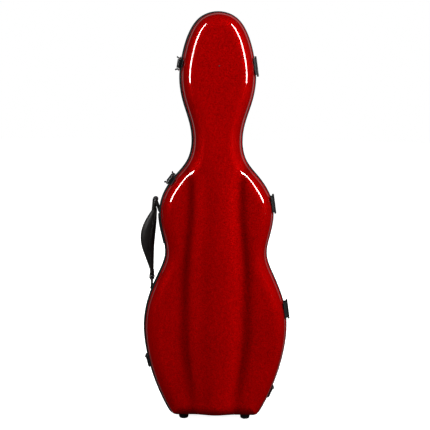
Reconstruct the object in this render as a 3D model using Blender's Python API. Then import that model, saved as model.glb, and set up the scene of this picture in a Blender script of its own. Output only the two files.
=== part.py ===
"""Shaped violin case, standing on its feet with the lid closed.

+Z runs up the case, -Y is the lid's side and +X the hinge side. The seam lies in the plane y = 0.
Sizes are in millimetres in this file, and meshes are made in metres.
"""

import functools
import math

import bmesh
import bpy
import numpy as np
from mathutils import Matrix, Vector

MM = 0.001
GAP = 0.3

# Half outline of the base's edge at the seam: (x, z) from the top centre down to the bottom corner.
SIDE_POINTS = [
    (0, 804.5), (33.2, 793.9), (53.8, 766.3), (67.4, 722.7), (72.4, 680.8), (65.6, 633.9),
    (51.8, 589.7), (47.3, 556.2), (55.9, 515.6), (83.3, 479.9), (106.3, 440.1), (110.9, 412.1),
    (105.3, 371), (98.7, 328.8), (110.5, 292.4), (130.3, 244.8), (140.4, 190.8), (136.5, 140.7),
    (120.3, 79), (89.3, 11.5),
]
SIDE_END = (-0.505, -0.863)  # direction of the side where the bottom corner starts
BOTTOM_Z = 4.6
CORNER_RADIUS = 14.0
SMOOTHING = 50.0  # length over which the inward direction turns at a corner
LID_SHIFT = 1.2  # the lid sits this far toward the hinges

# Mesh of the shells: quads along one side, across the ends, and per full turn of small rounds.
SIDE_ROWS = 24
END_COLUMNS = 6
BEND_WEIGHT = 70.0
ROUND_SIDES = 12

# Section of a half shell, from its edge at the seam up to its face.
WALL = 2.8
EDGE_DEPTH = 3.2
LIP_DEPTH = 8.0
FLARE = 2.0
FLARE_DEPTH = 11.5
ROUND_START = 14.0
ROUND_WIDTH = 30.0
ROUND_ANGLES = (0, 25, 48, 70, 90)
INNER_ANGLES = (0, 35, 65, 90)

# Depth of the faces from the seam: a long hump down the middle between two lower shelves.
LID_SHELF = 54.0
LID_CREST = 70.0
LID_HEAD = 62.0
LID_VALLEY = 2.5
BASE_SHELF = 57.0
BASE_CREST = 66.0
BASE_HEAD = 60.0
HUMP_BOTTOM, HUMP_WAIST, HUMP_SHOULDER, HUMP_HEAD = 42.0, 61.0, 50.0, 190.0
LOW_BOUT_Z, WAIST_Z, SHOULDER_Z, HEAD_Z = 180.0, 277.0, 437.0, 605.0
VALLEY_WIDTH = 13.0
BASE_HUMP_WIDENING = 1.7

# Edge trims and the seal between them.
BASE_TRIM_PROUD = 2.6
LID_TRIM_PROUD = 1.2
TRIM_HEIGHT = 7.0
TRIM_WEB = 1.1

# Hinges: the axis lies in the seam plane and leans with the case's outline.
HINGE_X, HINGE_Z, HINGE_LEAN = 144.9, 219.4, -0.1421
HINGE_HEIGHTS = {"lower": 219.4, "middle": 431.0, "upper": 701.3}
HINGE_LENGTH = 36.0
HINGE_LEAF = 1.0
PIN_RADIUS = 1.1
BORE_RADIUS = 1.4
KNUCKLE_RADIUS = 2.1

LATCH_HEIGHTS = {"head": 705.2, "shoulder": 474.5}
LATCH_HALF = 12.0
LEVER_HALF = 8.6
LEVER_AXIS = (16.5, 5.0)  # (y, outward) from the base's edge
BAIL_OFFSET = (6.0, 2.5)
BAIL_REACH = 38.7
BAIL_WIRE = 0.8

HANDLE_Y = 22.0
HANDLE_TOP_Z, HANDLE_LOW_Z = 413.6, 256.0
RING_STANDOFF = 2.8
HANDLE_UPPER_BAR = (-122.2, 436.1)
HANDLE_LOWER_BAR = (-128.6, 278.7)
HANDLE_RING_WIRE = 2.0
GRIP_LOW, GRIP_HIGH = 289.4, 418.6
GRIP_INNER_X = -121.7
GRIP_END, GRIP_BULGE = 7.0, 22.5
GRIP_HALF_WIDTH = 17.0
WEBBING_HALF_WIDTH = 9.0
UPPER_LOOP_RADIUS, LOWER_LOOP_RADIUS = 4.2, 4.9

# Rings for carrying straps: two on the lower bout's side walls, and two on the back.
LOWER_RING_HEIGHTS = {"left": 117.0, "right": 55.3}
LOWER_RING_Y, LOWER_RING_STANDOFF = 26.0, 7.2
UPPER_RING_X, UPPER_RING_Z, UPPER_RING_STANDOFF = 46.0, 477.0, 4.4

FOOT_X, FOOT_Y, FOOT_RADIUS = 61.3, 23.0, 9.7
FOOT_PROFILE = ((4.6, 0.0), (7.4, 1.0), (9.0, 2.9), (FOOT_RADIUS, 5.0))  # (radius, height)

VIOLIN_POCKET = [
    (0, 104), (52, 106), (92, 126), (111, 168), (110, 206), (86, 250), (66, 286), (63, 322),
    (76, 356), (93, 388), (88, 428), (62, 460), (30, 478),
]
NECK_HALF = 30.0
SCROLL_POCKET = [(30, 596), (42, 620), (46, 668), (40, 712), (22, 738), (0, 744)]
POCKET_FLOOR = 46.5
COMPARTMENT = (76.0, 52.0, 88.0, 44.0)  # half width, low z, high z, depth
DOOR_AXIS = (2.9, 96.0)  # (y, z)
LINER_TOP = 1.5
BOW_X, BOW_Z = 57.0, 124.0
TIP_X, TIP_Z = 18.0, 735.0

COLORS = {
    "shell": ((0.30, 0.004, 0.006), 0.2, 0.3),
    "trim": ((0.012, 0.012, 0.013), 0.5, 0.0),
    "seal": ((0.03, 0.03, 0.03), 0.8, 0.0),
    "liner": ((0.05, 0.05, 0.055), 0.95, 0.0),
    "padding": ((0.08, 0.08, 0.085), 0.95, 0.0),
    "hardware": ((0.015, 0.015, 0.016), 0.35, 0.6),
    "steel": ((0.55, 0.55, 0.56), 0.3, 1.0),
    "rubber": ((0.014, 0.014, 0.014), 0.7, 0.0),
    "grip": ((0.02, 0.02, 0.021), 0.85, 0.0),
    "webbing": ((0.016, 0.016, 0.018), 0.9, 0.0),
    "plastic": ((0.02, 0.02, 0.02), 0.45, 0.0),
}


# ---- objects -------------------------------------------------------------------------------------


def clear_scene():
    for obj in list(bpy.data.objects):
        bpy.data.objects.remove(obj, do_unlink=True)


def material(slot):
    """The slot's Principled material, made on first use."""
    found = bpy.data.materials.get(slot)
    if found:
        return found
    color, roughness, metallic = COLORS[slot]
    made = bpy.data.materials.new(slot)
    made.use_nodes = True
    shader = made.node_tree.nodes["Principled BSDF"]
    shader.inputs["Base Color"].default_value = (*color, 1)
    shader.inputs["Roughness"].default_value = roughness
    shader.inputs["Metallic"].default_value = metallic
    made.diffuse_color = (*color, 1)
    return made


def place(name, bm, slot, origin=(0, 0, 0)):
    """Object from a bmesh in millimetres, with its origin at the given point."""
    bmesh.ops.remove_doubles(bm, verts=bm.verts, dist=0.001)
    bmesh.ops.recalc_face_normals(bm, faces=bm.faces)
    origin = Vector(origin)
    bmesh.ops.translate(bm, verts=bm.verts, vec=-origin)
    bmesh.ops.scale(bm, verts=bm.verts, vec=(MM, MM, MM))
    mesh = bpy.data.meshes.new(name)
    bm.to_mesh(mesh)
    bm.free()
    mesh.shade_smooth()
    mesh.set_sharp_from_angle(angle=math.radians(35))
    obj = bpy.data.objects.new(name, mesh)
    obj.location = origin * MM
    obj.data.materials.append(material(slot))
    bpy.context.scene.collection.objects.link(obj)
    return obj


def prism(polygon, low, high, to_world=None):
    """Solid with the polygon's (a, b) points as its section, from c = low to c = high."""
    bm = bmesh.new()
    to_world = to_world or Matrix.Identity(4)
    rings = [[bm.verts.new(to_world @ Vector((a, b, c))) for a, b in polygon] for c in (low, high)]
    bm.faces.new(rings[0][::-1])
    bm.faces.new(rings[1])
    for i in range(len(polygon)):
        j = (i + 1) % len(polygon)
        bm.faces.new((rings[0][i], rings[0][j], rings[1][j], rings[1][i]))
    return bm


def loft(rings):
    """Solid through rings with the same number of points."""
    bm = bmesh.new()
    made = [[bm.verts.new(p) for p in ring] for ring in rings]
    for low, high in zip(made, made[1:]):
        for i in range(len(low)):
            j = (i + 1) % len(low)
            bm.faces.new((low[i], low[j], high[j], high[i]))
    bm.faces.new(made[0][::-1])
    bm.faces.new(made[-1])
    return bm


def circle(centre, radius, sides=ROUND_SIDES, start=0.0):
    steps = [start + 2 * math.pi * i / sides for i in range(sides)]
    return [(centre[0] + radius * math.cos(a), centre[1] + radius * math.sin(a)) for a in steps]


def arc(centre, radius, first, last, count):
    """Points on an arc, with its angles in degrees."""
    angles = [math.radians(first + (last - first) * i / count) for i in range(count + 1)]
    return [(centre[0] + radius * math.cos(a), centre[1] + radius * math.sin(a)) for a in angles]


def ribbon(path, thickness):
    """Outline of a strip that is bent along a path."""
    p = np.array(path, float)
    d = np.gradient(p, axis=0)
    d /= np.linalg.norm(d, axis=1)[:, None]
    side = np.stack([-d[:, 1], d[:, 0]], axis=1) * thickness / 2
    return [tuple(q) for q in p + side] + [tuple(q) for q in (p - side)[::-1]]


def combine(obj, cutter, operation):
    """Boolean modifier with a hidden helper object."""
    cutter.hide_render = True
    cutter.display_type = "WIRE"
    modifier = obj.modifiers.new(cutter.name, "BOOLEAN")
    modifier.operation = operation
    modifier.object = cutter


def helper(name, bm):
    return place("helper_" + name, bm, "plastic")


def wire_loop(name, points, radius, slot, origin=(0, 0, 0)):
    """Closed loop of round wire through the given points."""
    curve = bpy.data.curves.new(name, "CURVE")
    curve.dimensions = "3D"
    curve.bevel_depth = radius * MM
    curve.bevel_resolution = 1
    line = curve.splines.new("POLY")
    line.points.add(len(points) - 1)
    for point, position in zip(line.points, points):
        point.co = (*((Vector(position) - Vector(origin)) * MM), 1)
    line.use_cyclic_u = True
    obj = bpy.data.objects.new(name, curve)
    obj.location = Vector(origin) * MM
    curve.materials.append(material(slot))
    bpy.context.scene.collection.objects.link(obj)
    return obj


def rounded_loop(length, width, radius, to_world, steps=3):
    """Rectangle with round corners, from (0, -width/2) to (length, width/2), in the world."""
    corners = [
        ((length - radius, width / 2 - radius), 0), ((radius, width / 2 - radius), 90),
        ((radius, radius - width / 2), 180), ((length - radius, radius - width / 2), 270),
    ]
    flat = [p for centre, first in corners for p in arc(centre, radius, first, first + 90, steps)]
    return [to_world @ Vector((a, b, 0)) for a, b in flat]


# ---- outline and shell surfaces ------------------------------------------------------------------


def smooth_curve(points, first, last, per_span=30):
    """Cubic spline through the points with continuous curvature and the given end directions."""
    p = np.array(points, float)
    h = np.linalg.norm(np.diff(p, axis=0), axis=1)
    n = len(p)
    a = np.zeros((n, n))
    r = np.zeros((n, 2))
    a[0, 0] = a[-1, -1] = 1
    r[0], r[-1] = first, last
    for i in range(1, n - 1):
        a[i, i - 1], a[i, i], a[i, i + 1] = h[i], 2 * (h[i - 1] + h[i]), h[i - 1]
        r[i] = 3 * (h[i] * (p[i] - p[i - 1]) / h[i - 1] + h[i - 1] * (p[i + 1] - p[i]) / h[i])
    m = np.linalg.solve(a, r)
    out = []
    for i in range(n - 1):
        t = np.linspace(0, 1, per_span, endpoint=False)[:, None]
        out.append(
            (2 * t**3 - 3 * t**2 + 1) * p[i] + (t**3 - 2 * t**2 + t) * h[i] * m[i]
            + (3 * t**2 - 2 * t**3) * p[i + 1] + (t**3 - t**2) * h[i] * m[i + 1]
        )
    return np.vstack([*out, p[-1:]])


def lengths_along(points, bend_weight=0.0):
    """Running length, in which a bend counts as extra length."""
    step = np.diff(points, axis=0)
    size = np.linalg.norm(step, axis=1)
    turn = np.unwrap(np.arctan2(step[:, 1], step[:, 0]))
    bend = np.abs(np.gradient(turn)) if len(turn) > 1 else np.zeros(1)
    return np.concatenate([[0], np.cumsum(size + bend_weight * bend)])


def resample(points, count, bend_weight=0.0):
    run = lengths_along(points, bend_weight)
    at = np.linspace(0, run[-1], count + 1)
    return np.stack([np.interp(at, run, points[:, k]) for k in range(points.shape[1])], axis=1)


@functools.lru_cache(maxsize=1)
def half_outline():
    """Fine right half of the outline, from the top centre to the bottom centre: x, z and inward dx, dz."""
    side = smooth_curve(SIDE_POINTS, (1, 0), SIDE_END)
    start = np.array(SIDE_POINTS[-1], float)
    centre = start + CORNER_RADIUS * np.array([SIDE_END[1], -SIDE_END[0]])
    start_angle = math.degrees(math.atan2(*(start - centre)[::-1]))
    corner = np.array(arc(centre, CORNER_RADIUS, start_angle, -90, 16))
    bottom = np.array([(corner[-1][0], corner[-1][1]), (0, corner[-1][1])])
    fine = np.vstack([side[:-1], corner, resample(bottom, 60)[1:]])
    fine = resample(fine, 1400)
    tangent = np.gradient(fine, axis=0)
    tangent[0], tangent[-1] = (1, 0), (-1, 0)
    tangent /= np.linalg.norm(tangent, axis=1)[:, None]
    inward = np.stack([tangent[:, 1], -tangent[:, 0]], axis=1)
    step = lengths_along(fine)[-1] / (len(fine) - 1)
    reach = int(SMOOTHING / 2 / step)
    mirrored = inward * (-1, 1)
    padded = np.vstack([mirrored[reach:0:-1], inward, mirrored[-2:-reach - 2:-1]])
    kernel = np.ones(2 * reach + 1) / (2 * reach + 1)
    mean = np.stack([np.convolve(padded[:, k], kernel, "valid") for k in (0, 1)], axis=1)
    mean /= (mean * inward).sum(axis=1)[:, None]
    return np.hstack([fine, mean])


def perimeter():
    """Loop of x, z, inward dx, dz: down the right side, along the bottom, up the left, over the top."""
    fine = half_outline()
    angle = np.degrees(np.unwrap(np.arctan2(-fine[:, 3], -fine[:, 2])))
    top = int(np.argmax(angle < 45))
    low = len(fine) - 1 - int(np.argmax((angle > -60)[::-1]))
    half = END_COLUMNS // 2
    first = resample(fine[: top + 1], half)
    side = resample(fine[top : low + 1], SIDE_ROWS, BEND_WEIGHT)
    last = resample(fine[low:], half)
    right = np.vstack([first[:-1], side[:-1], last])
    left = right[1:-1][::-1] * (-1, 1, -1, 1)
    return np.vstack([right, left])


def smoothstep(low, high, value):
    t = min(1.0, max(0.0, (value - low) / (high - low)))
    return t * t * (3 - 2 * t)


def hump_half(z):
    """Half width of the middle hump at a height."""
    low = HUMP_BOTTOM + (HUMP_WAIST - HUMP_BOTTOM) * smoothstep(0, LOW_BOUT_Z, z)
    mid = low + (HUMP_SHOULDER - HUMP_WAIST) * smoothstep(WAIST_Z, SHOULDER_Z, z)
    return mid + (HUMP_HEAD - HUMP_SHOULDER) * smoothstep(SHOULDER_Z + 10, HEAD_Z, z) ** 2


def face_depth(x, z, shelf, crest, head, valley, widen):
    """Depth of a half shell's face below the seam plane."""
    half = hump_half(z) * widen
    t = min(1.0, abs(x) / half)
    top = crest + (head - crest) * smoothstep(SHOULDER_Z - 10, HEAD_Z + 40, z)
    fade = smoothstep(HEAD_Z - 58, SHOULDER_Z + 40, z)
    dip = valley * math.exp(-(((abs(x) - half) / VALLEY_WIDTH) ** 2)) * fade
    return shelf + (top - shelf) * 0.5 * (1 + math.cos(math.pi * t)) - dip


def lid_face(x, z):
    return face_depth(x, z, LID_SHELF, LID_CREST, LID_HEAD, LID_VALLEY, 1.0)


def base_face(x, z):
    return face_depth(x, z, BASE_SHELF, BASE_CREST, BASE_HEAD, 0.0, BASE_HUMP_WIDENING)


def ring_points(loop, inset, depth, share, face, less, sign, shift):
    """One ring of a half shell in the world; the face's depth is cut by less."""
    out = []
    for x, z, dx, dz in loop:
        px, pz = x + inset * dx, z + inset * dz
        y = depth
        if share is not None:
            y = ROUND_START + (face(px, pz) - less - ROUND_START) * share
        out.append(Vector((px + shift, sign * y, pz)))
    return out


def patch(bm, ring, face, less, sign, shift):
    """Quads that fill the ring of the face, between its two sides and two ends."""
    half = END_COLUMNS // 2
    count = len(ring)
    right = [ring[half + i] for i in range(SIDE_ROWS + 1)]
    low_start = half + SIDE_ROWS
    bottom = [ring[(low_start + i) % count] for i in range(END_COLUMNS + 1)]
    left = [ring[(low_start + END_COLUMNS + i) % count] for i in range(SIDE_ROWS + 1)][::-1]
    top = [ring[(-half + i) % count] for i in range(END_COLUMNS + 1)]
    grid = []
    for i in range(SIDE_ROWS + 1):
        v = i / SIDE_ROWS
        row = []
        for j in range(END_COLUMNS + 1):
            u = j / END_COLUMNS
            if i == 0:
                row.append(top[j])
            elif i == SIDE_ROWS:
                row.append(bottom[END_COLUMNS - j])
            elif j == 0:
                row.append(left[i])
            elif j == END_COLUMNS:
                row.append(right[i])
            else:
                t, b = top[j].co, bottom[END_COLUMNS - j].co
                l, r = left[i].co, right[i].co
                corners = (
                    top[0].co * (1 - u) * (1 - v) + top[-1].co * u * (1 - v)
                    + bottom[-1].co * (1 - u) * v + bottom[0].co * u * v
                )
                p = t * (1 - v) + b * v + l * (1 - u) + r * u - corners
                y = sign * (face(p.x - shift, p.z) - less)
                row.append(bm.verts.new((p.x, y, p.z)))
        grid.append(row)
    for upper, lower in zip(grid, grid[1:]):
        for j in range(END_COLUMNS):
            bm.faces.new((upper[j], upper[j + 1], lower[j + 1], lower[j]))


def skin(rings, loop, face, less, sign, shift, bm):
    """Bands between the rings and the patch that closes the last one."""
    made = [
        [bm.verts.new(p) for p in ring_points(loop, *ring, face, less, sign, shift)] for ring in rings
    ]
    for outer, inner in zip(made, made[1:]):
        for i in range(len(outer)):
            j = (i + 1) % len(outer)
            bm.faces.new((outer[i], outer[j], inner[j], inner[i]))
    patch(bm, made[-1], face, less, sign, shift)
    return made[0]


def round_rings(inset, angles):
    """The curved part of a skin that lies this far inside the outer surface."""
    width = ROUND_WIDTH - inset
    start = FLARE + inset
    return [
        (start + width * (1 - math.cos(math.radians(a))), None, math.sin(math.radians(a)))
        for a in angles
    ]


def thin_shell(name, slot, outer, inner, face, out_less, in_less, sign, shift, loop):
    """Closed half shell between an outer and an inner skin that end in one rim."""
    bm = bmesh.new()
    outer_rim = skin(outer, loop, face, out_less, sign, shift, bm)
    inner_rim = skin(inner, loop, face, in_less, sign, shift, bm)
    for i in range(len(outer_rim)):
        j = (i + 1) % len(outer_rim)
        bm.faces.new((outer_rim[i], outer_rim[j], inner_rim[j], inner_rim[i]))
    return place(name, bm, slot)


def half_shell(name, face, sign, shift, loop):
    outer = [(0, EDGE_DEPTH, None), (0, LIP_DEPTH, None), (FLARE, FLARE_DEPTH, None)]
    outer += round_rings(0, ROUND_ANGLES)
    inner = [(WALL, EDGE_DEPTH, None)] + round_rings(WALL, INNER_ANGLES)
    return thin_shell(name, "shell", outer, inner, face, 0, WALL, sign, shift, loop)


def ring_solid(name, slot, loop, polygon, sign, shift):
    """Closed ring whose section is given as (outward, depth) points."""
    bm = bmesh.new()
    rows = [
        [bm.verts.new(p) for p in ring_points(loop, -n, y, None, None, 0, sign, shift)]
        for n, y in polygon
    ]
    for a, b in zip(rows, rows[1:] + rows[:1]):
        for i in range(len(a)):
            j = (i + 1) % len(a)
            bm.faces.new((a[i], a[j], b[j], b[i]))
    return place(name, bm, slot)


# ---- frames on the case's edge ---------------------------------------------------------------------


def edge_point(z, side):
    """Point and outward direction of the base's edge at a height, on the side +1 or -1."""
    fine = half_outline()
    span = fine[(fine[:, 1] < 790) & (fine[:, 0] > 40)]
    i = int(np.argmin(np.abs(span[:, 1] - z)))
    tangent = span[i + 1, :2] - span[i - 1, :2]
    tangent /= np.linalg.norm(tangent)
    return Vector((side * span[i, 0], 0, span[i, 1])), Vector((-side * tangent[1], 0, tangent[0]))


def edge_frame(z, side):
    """Matrix from (along the edge, y, outward) to the world, at a point of the base's edge."""
    origin, outward = edge_point(z, side)
    return frame_matrix(origin, Vector((0, 1, 0)).cross(outward), Vector((0, 1, 0)), outward)


def frame_matrix(origin, first, second, third):
    matrix = Matrix((first, second, third)).transposed().to_4x4()
    matrix.translation = origin
    return matrix


def axes(frame, order):
    """The same frame with its columns reordered, such as 'yzx' for a prism whose run is x."""
    picked = {"x": frame.col[0], "y": frame.col[1], "z": frame.col[2]}
    return frame_matrix(frame.translation, *[picked[c].to_3d() for c in order])


# ---- shells, trims and lining ----------------------------------------------------------------------


def make_shells(loop):
    half_shell("lid_shell", lid_face, -1, LID_SHIFT, loop)
    half_shell("base_shell", base_face, 1, 0, loop)


def make_trims(loop):
    """Rubber edge channels, and the seal bead that lies on the base's channel."""
    for name, sign, proud, shift in (
        ("lid_trim", -1, LID_TRIM_PROUD, LID_SHIFT), ("base_trim", 1, BASE_TRIM_PROUD, 0),
    ):
        top = EDGE_DEPTH - GAP
        web = top - TRIM_WEB
        channel = [
            (proud, GAP), (proud, TRIM_HEIGHT), (GAP, TRIM_HEIGHT), (GAP, top),
            (-WALL - GAP, top), (-WALL - GAP, web), (0, web), (0, GAP),
        ]
        ring_solid(name, "trim", loop, channel, sign, shift)
    bead = [(-0.5, 0.2), (-0.5, 1.5), (-2.7, 1.5), (-2.7, 0.2)]
    ring_solid("seam_seal", "seal", loop, bead, 1, 0)


def make_lid_liner(loop):
    inset = WALL + 0.5
    inner = inset + 4.0
    outer_rings = [(inset + FLARE - 1.0, LINER_TOP, None)] + round_rings(inset, INNER_ANGLES)
    inner_rings = [(inner + FLARE - 1.0, LINER_TOP, None)] + round_rings(inner, INNER_ANGLES)
    thin_shell(
        "lid_liner", "liner", outer_rings, inner_rings, lid_face, inset, inner, -1, LID_SHIFT, loop
    )


def pocket_outline():
    """Whole outline of the violin's pocket: body, neck channel and scroll."""
    body = resample(smooth_curve(VIOLIN_POCKET, (1, 0), (-0.6, 0.8), 8), 18, 20)
    scroll = resample(smooth_curve(SCROLL_POCKET, (0.5, 0.85), (-1, 0), 8), 8, 20)
    right = [tuple(p) for p in body] + [tuple(p) for p in scroll]
    return right + [(-x, z) for x, z in right[1:-1][::-1]]


def front_frame():
    """Frame for a prism whose section is (x, z) and whose run is +Y."""
    return frame_matrix(Vector(), Vector((1, 0, 0)), Vector((0, 0, 1)), Vector((0, 1, 0)))


def box_bm(low, high):
    return prism(
        [(low[0], low[1]), (high[0], low[1]), (high[0], high[1]), (low[0], high[1])], low[2], high[2]
    )


def make_base_liner(loop):
    """Foam tray, hollowed for the violin and for the accessory compartment."""
    inset = WALL + 0.5
    bm = bmesh.new()
    rings = [(inset + FLARE - 1.0, LINER_TOP, None)] + round_rings(inset, INNER_ANGLES)
    rim = skin(rings, loop, base_face, inset, 1, 0, bm)
    bm.faces.new(rim)
    tray = place("base_liner", bm, "liner")
    run = front_frame()
    combine(tray, helper("violin", prism(pocket_outline(), -5, POCKET_FLOOR, run)), "DIFFERENCE")
    half, low, high, depth = COMPARTMENT
    recess = [(-half - 3, low - 3), (half + 3, low - 3), (half + 3, 99.8), (-half - 3, 99.8)]
    combine(tray, helper("recess", prism(recess, -5, 4.8, run)), "DIFFERENCE")
    slot = [(-half - 3, 90.5), (half + 3, 90.5), (half + 3, 99.8), (-half - 3, 99.8)]
    combine(tray, helper("hinge_slot", prism(slot, -4, 6.8, run)), "DIFFERENCE")
    bay = [(-half, low), (half, low), (half, high), (-half, high)]
    combine(tray, helper("compartment", prism(bay, -3, depth, run)), "DIFFERENCE")


def cushion(name, low, high, corner):
    """Soft block with bevelled edges."""
    obj = place(name, box_bm(low, high), "padding")
    bevel = obj.modifiers.new("soft_edges", "BEVEL")
    bevel.width = corner * MM
    bevel.segments = 2
    bevel.limit_method = "ANGLE"


def make_supports():
    """Suspension pads, the neck cradle and the strap over it."""
    floor = POCKET_FLOOR - GAP
    cushion("lower_pad", (-68, floor - 9, 120), (68, floor, 168), 3.5)
    cushion("upper_pad", (-48, floor - 9, 404), (48, floor, 444), 3.5)
    half = NECK_HALF - 0.8
    notch = [(-half, floor), (-half, 19), (-15, 19), *arc((0, 26), 13, 170, 10, 6), (15, 19),
             (half, 19), (half, floor)]
    place("neck_cradle", prism(notch, 524, 564), "padding")
    arch = [(-24, 18.6), (-24, 15), (-16, 10.5), (0, 8.8), (16, 10.5), (24, 15), (24, 18.6)]
    place("neck_strap", prism(ribbon(arch, 2.0), 532, 556), "webbing")


def door_frame():
    """Frame for a prism whose section is (y, z) and whose run is +X."""
    return frame_matrix(Vector(), Vector((0, 1, 0)), Vector((0, 0, 1)), Vector((1, 0, 0)))


def make_accessory_door():
    half, low = COMPARTMENT[:2]
    y, z = DOOR_AXIS
    plate = [(y - 1.2, low - 2.4), (y + 1.2, low - 2.4), (y + 1.2, z - 1.9), (y - 1.2, z - 1.9)]
    knuckle = [*arc((y, z), 3.1, 240, -90, 9), *arc((y, z), 1.5, -90, 240, 9)]
    door = place("accessory_door", prism(plate, -half - 2.2, half + 2.2, door_frame()), "liner",
                 (0, y, z))
    for side in (-1, 1):
        low_x, high_x = sorted((side * 24, side * 70))
        curl = helper(f"door_knuckle_{side}", prism(knuckle, low_x, high_x, door_frame()))
        combine(door, curl, "UNION")
    place("door_rod", prism(circle((y, z), 1.1, 10), -half - 1, half + 1, door_frame()), "steel")
    tab = ribbon([(y - 1.6, low + 4), (y - 3.6, low + 1), (y - 4.4, low - 3), (y - 3.6, low - 6)], 1.0)
    place("door_tab", prism(tab, -7, 7, door_frame()), "webbing", (0, y, z))


def make_bow_holders():
    """Turning clips at the lower end and loops for the tips in the head."""
    run = front_frame()
    for side, name in ((-1, "left"), (1, "right")):
        x = side * BOW_X + LID_SHIFT
        inner = WALL + 4.5
        top = min(lid_face(side * BOW_X + d, BOW_Z) for d in (-7, 0, 7)) - inner - GAP
        post = loft([
            [Vector((x + r * math.cos(a), -y, BOW_Z + r * math.sin(a))) for a in
             [2 * math.pi * i / ROUND_SIDES for i in range(ROUND_SIDES)]]
            for r, y in ((6.5, top), (6.5, top - 1.6), (2.6, top - 2.6), (2.6, top - 8.0),
                         (4.2, top - 8.0), (4.2, top - 9.2))
        ])
        place(f"bow_post_{name}", post, "plastic")
        outline = [*arc((x, BOW_Z + 11), 5.5, 0, 180, 6), *arc((x, BOW_Z - 11), 5.5, 180, 360, 6)]
        clip = place(
            f"bow_clip_{name}", prism(outline, 3.0 - top, 7.6 - top, run), "plastic", (x, -top, BOW_Z)
        )
        bore = helper(f"clip_bore_{name}", prism(circle((x, BOW_Z), 3.0), -top, 12 - top, run))
        combine(clip, bore, "DIFFERENCE")
        tip_x = side * TIP_X + LID_SHIFT
        depth = min(lid_face(side * TIP_X + d, TIP_Z) for d in (-10, 10)) - inner - GAP
        arch = [(tip_x - 11, -depth + 0.6), (tip_x - 6.2, -depth + 1.2), (tip_x - 5.6, 8 - depth),
                (tip_x, 11 - depth), (tip_x + 5.6, 8 - depth), (tip_x + 6.2, -depth + 1.2),
                (tip_x + 11, -depth + 0.6)]
        place(f"tip_loop_{name}", prism(ribbon(arch, 1.2), TIP_Z - 9, TIP_Z + 9), "webbing")


# ---- hinges ------------------------------------------------------------------------------------------


def hinge_axis():
    """A point on the lid's axis, and its direction pointing up."""
    return Vector((HINGE_X, 0, HINGE_Z)), Vector((HINGE_LEAN, 0, 1)).normalized()


def reach_of_edge(centre, outward, half, shift):
    """How far the edge reaches along outward from the centre, within half of it along the edge."""
    fine = half_outline()
    along = Vector((outward.z, 0, -outward.x))
    best = -1e9
    for x, z in fine[:, :2]:
        offset = Vector((x + shift, 0, z)) - centre
        if abs(offset.dot(along)) <= half:
            best = max(best, offset.dot(outward))
    return best


def make_hinge(name, height):
    """Two leaves with rolled knuckles round a headed pin."""
    point, up = hinge_axis()
    centre = point + up * ((height - HINGE_Z) / up.z)
    outward = Vector((up.z, 0, -up.x))
    half = HINGE_LENGTH / 2
    third = HINGE_LENGTH / 6
    for leaf, sign, shift in (("base", 1, 0), ("lid", -1, LID_SHIFT)):
        edge = reach_of_edge(centre, outward, half, shift)
        wall = edge - FLARE + GAP + 0.1
        arm = -KNUCKLE_RADIUS
        inside = arm + HINGE_LEAF
        plate = [
            (arm, 2.6), (arm, 8.8), (wall, 13.2), (wall, 25), (wall + HINGE_LEAF, 25),
            (wall + HINGE_LEAF, 13.8), (inside, 9.4), (inside, 2.6),
        ]
        curl = [(arm + 0.1, 4.4), *arc((0, 0), KNUCKLE_RADIUS, 180, 470, 10),
                *arc((0, 0), BORE_RADIUS, 470, 145, 10), (inside - 0.1, 4.4)]
        frame = frame_matrix(centre, outward, Vector((0, sign, 0)), up)
        obj = place(f"{name}_hinge_{leaf}_leaf", prism(plate, -half + 2, half - 2, frame), "hardware",
                    centre)
        spans = [(-half, -third - 0.2), (third + 0.2, half)] if leaf == "base" else [
            (-third + 0.2, third - 0.2)]
        for i, (low, high) in enumerate(spans):
            part = helper(f"{name}_{leaf}_knuckle_{i}", prism(curl, low, high, frame))
            combine(obj, part, "UNION")
    frame = frame_matrix(centre, outward, Vector((0, 1, 0)), up)
    profile = [(0.5, -half - 2.2), (1.7, -half - 1.8), (2.1, -half - 0.9), (2.1, -half - GAP),
               (PIN_RADIUS, -half - GAP), (PIN_RADIUS, half + GAP), (2.1, half + GAP),
               (2.1, half + 0.9), (1.7, half + 1.8), (0.5, half + 2.2)]
    rings = [[frame @ Vector((*p, w)) for p in circle((0, 0), r, 10)] for r, w in profile]
    place(f"{name}_hinge_pin", loft(rings), "steel", centre)


# ---- latches -----------------------------------------------------------------------------------------


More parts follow.
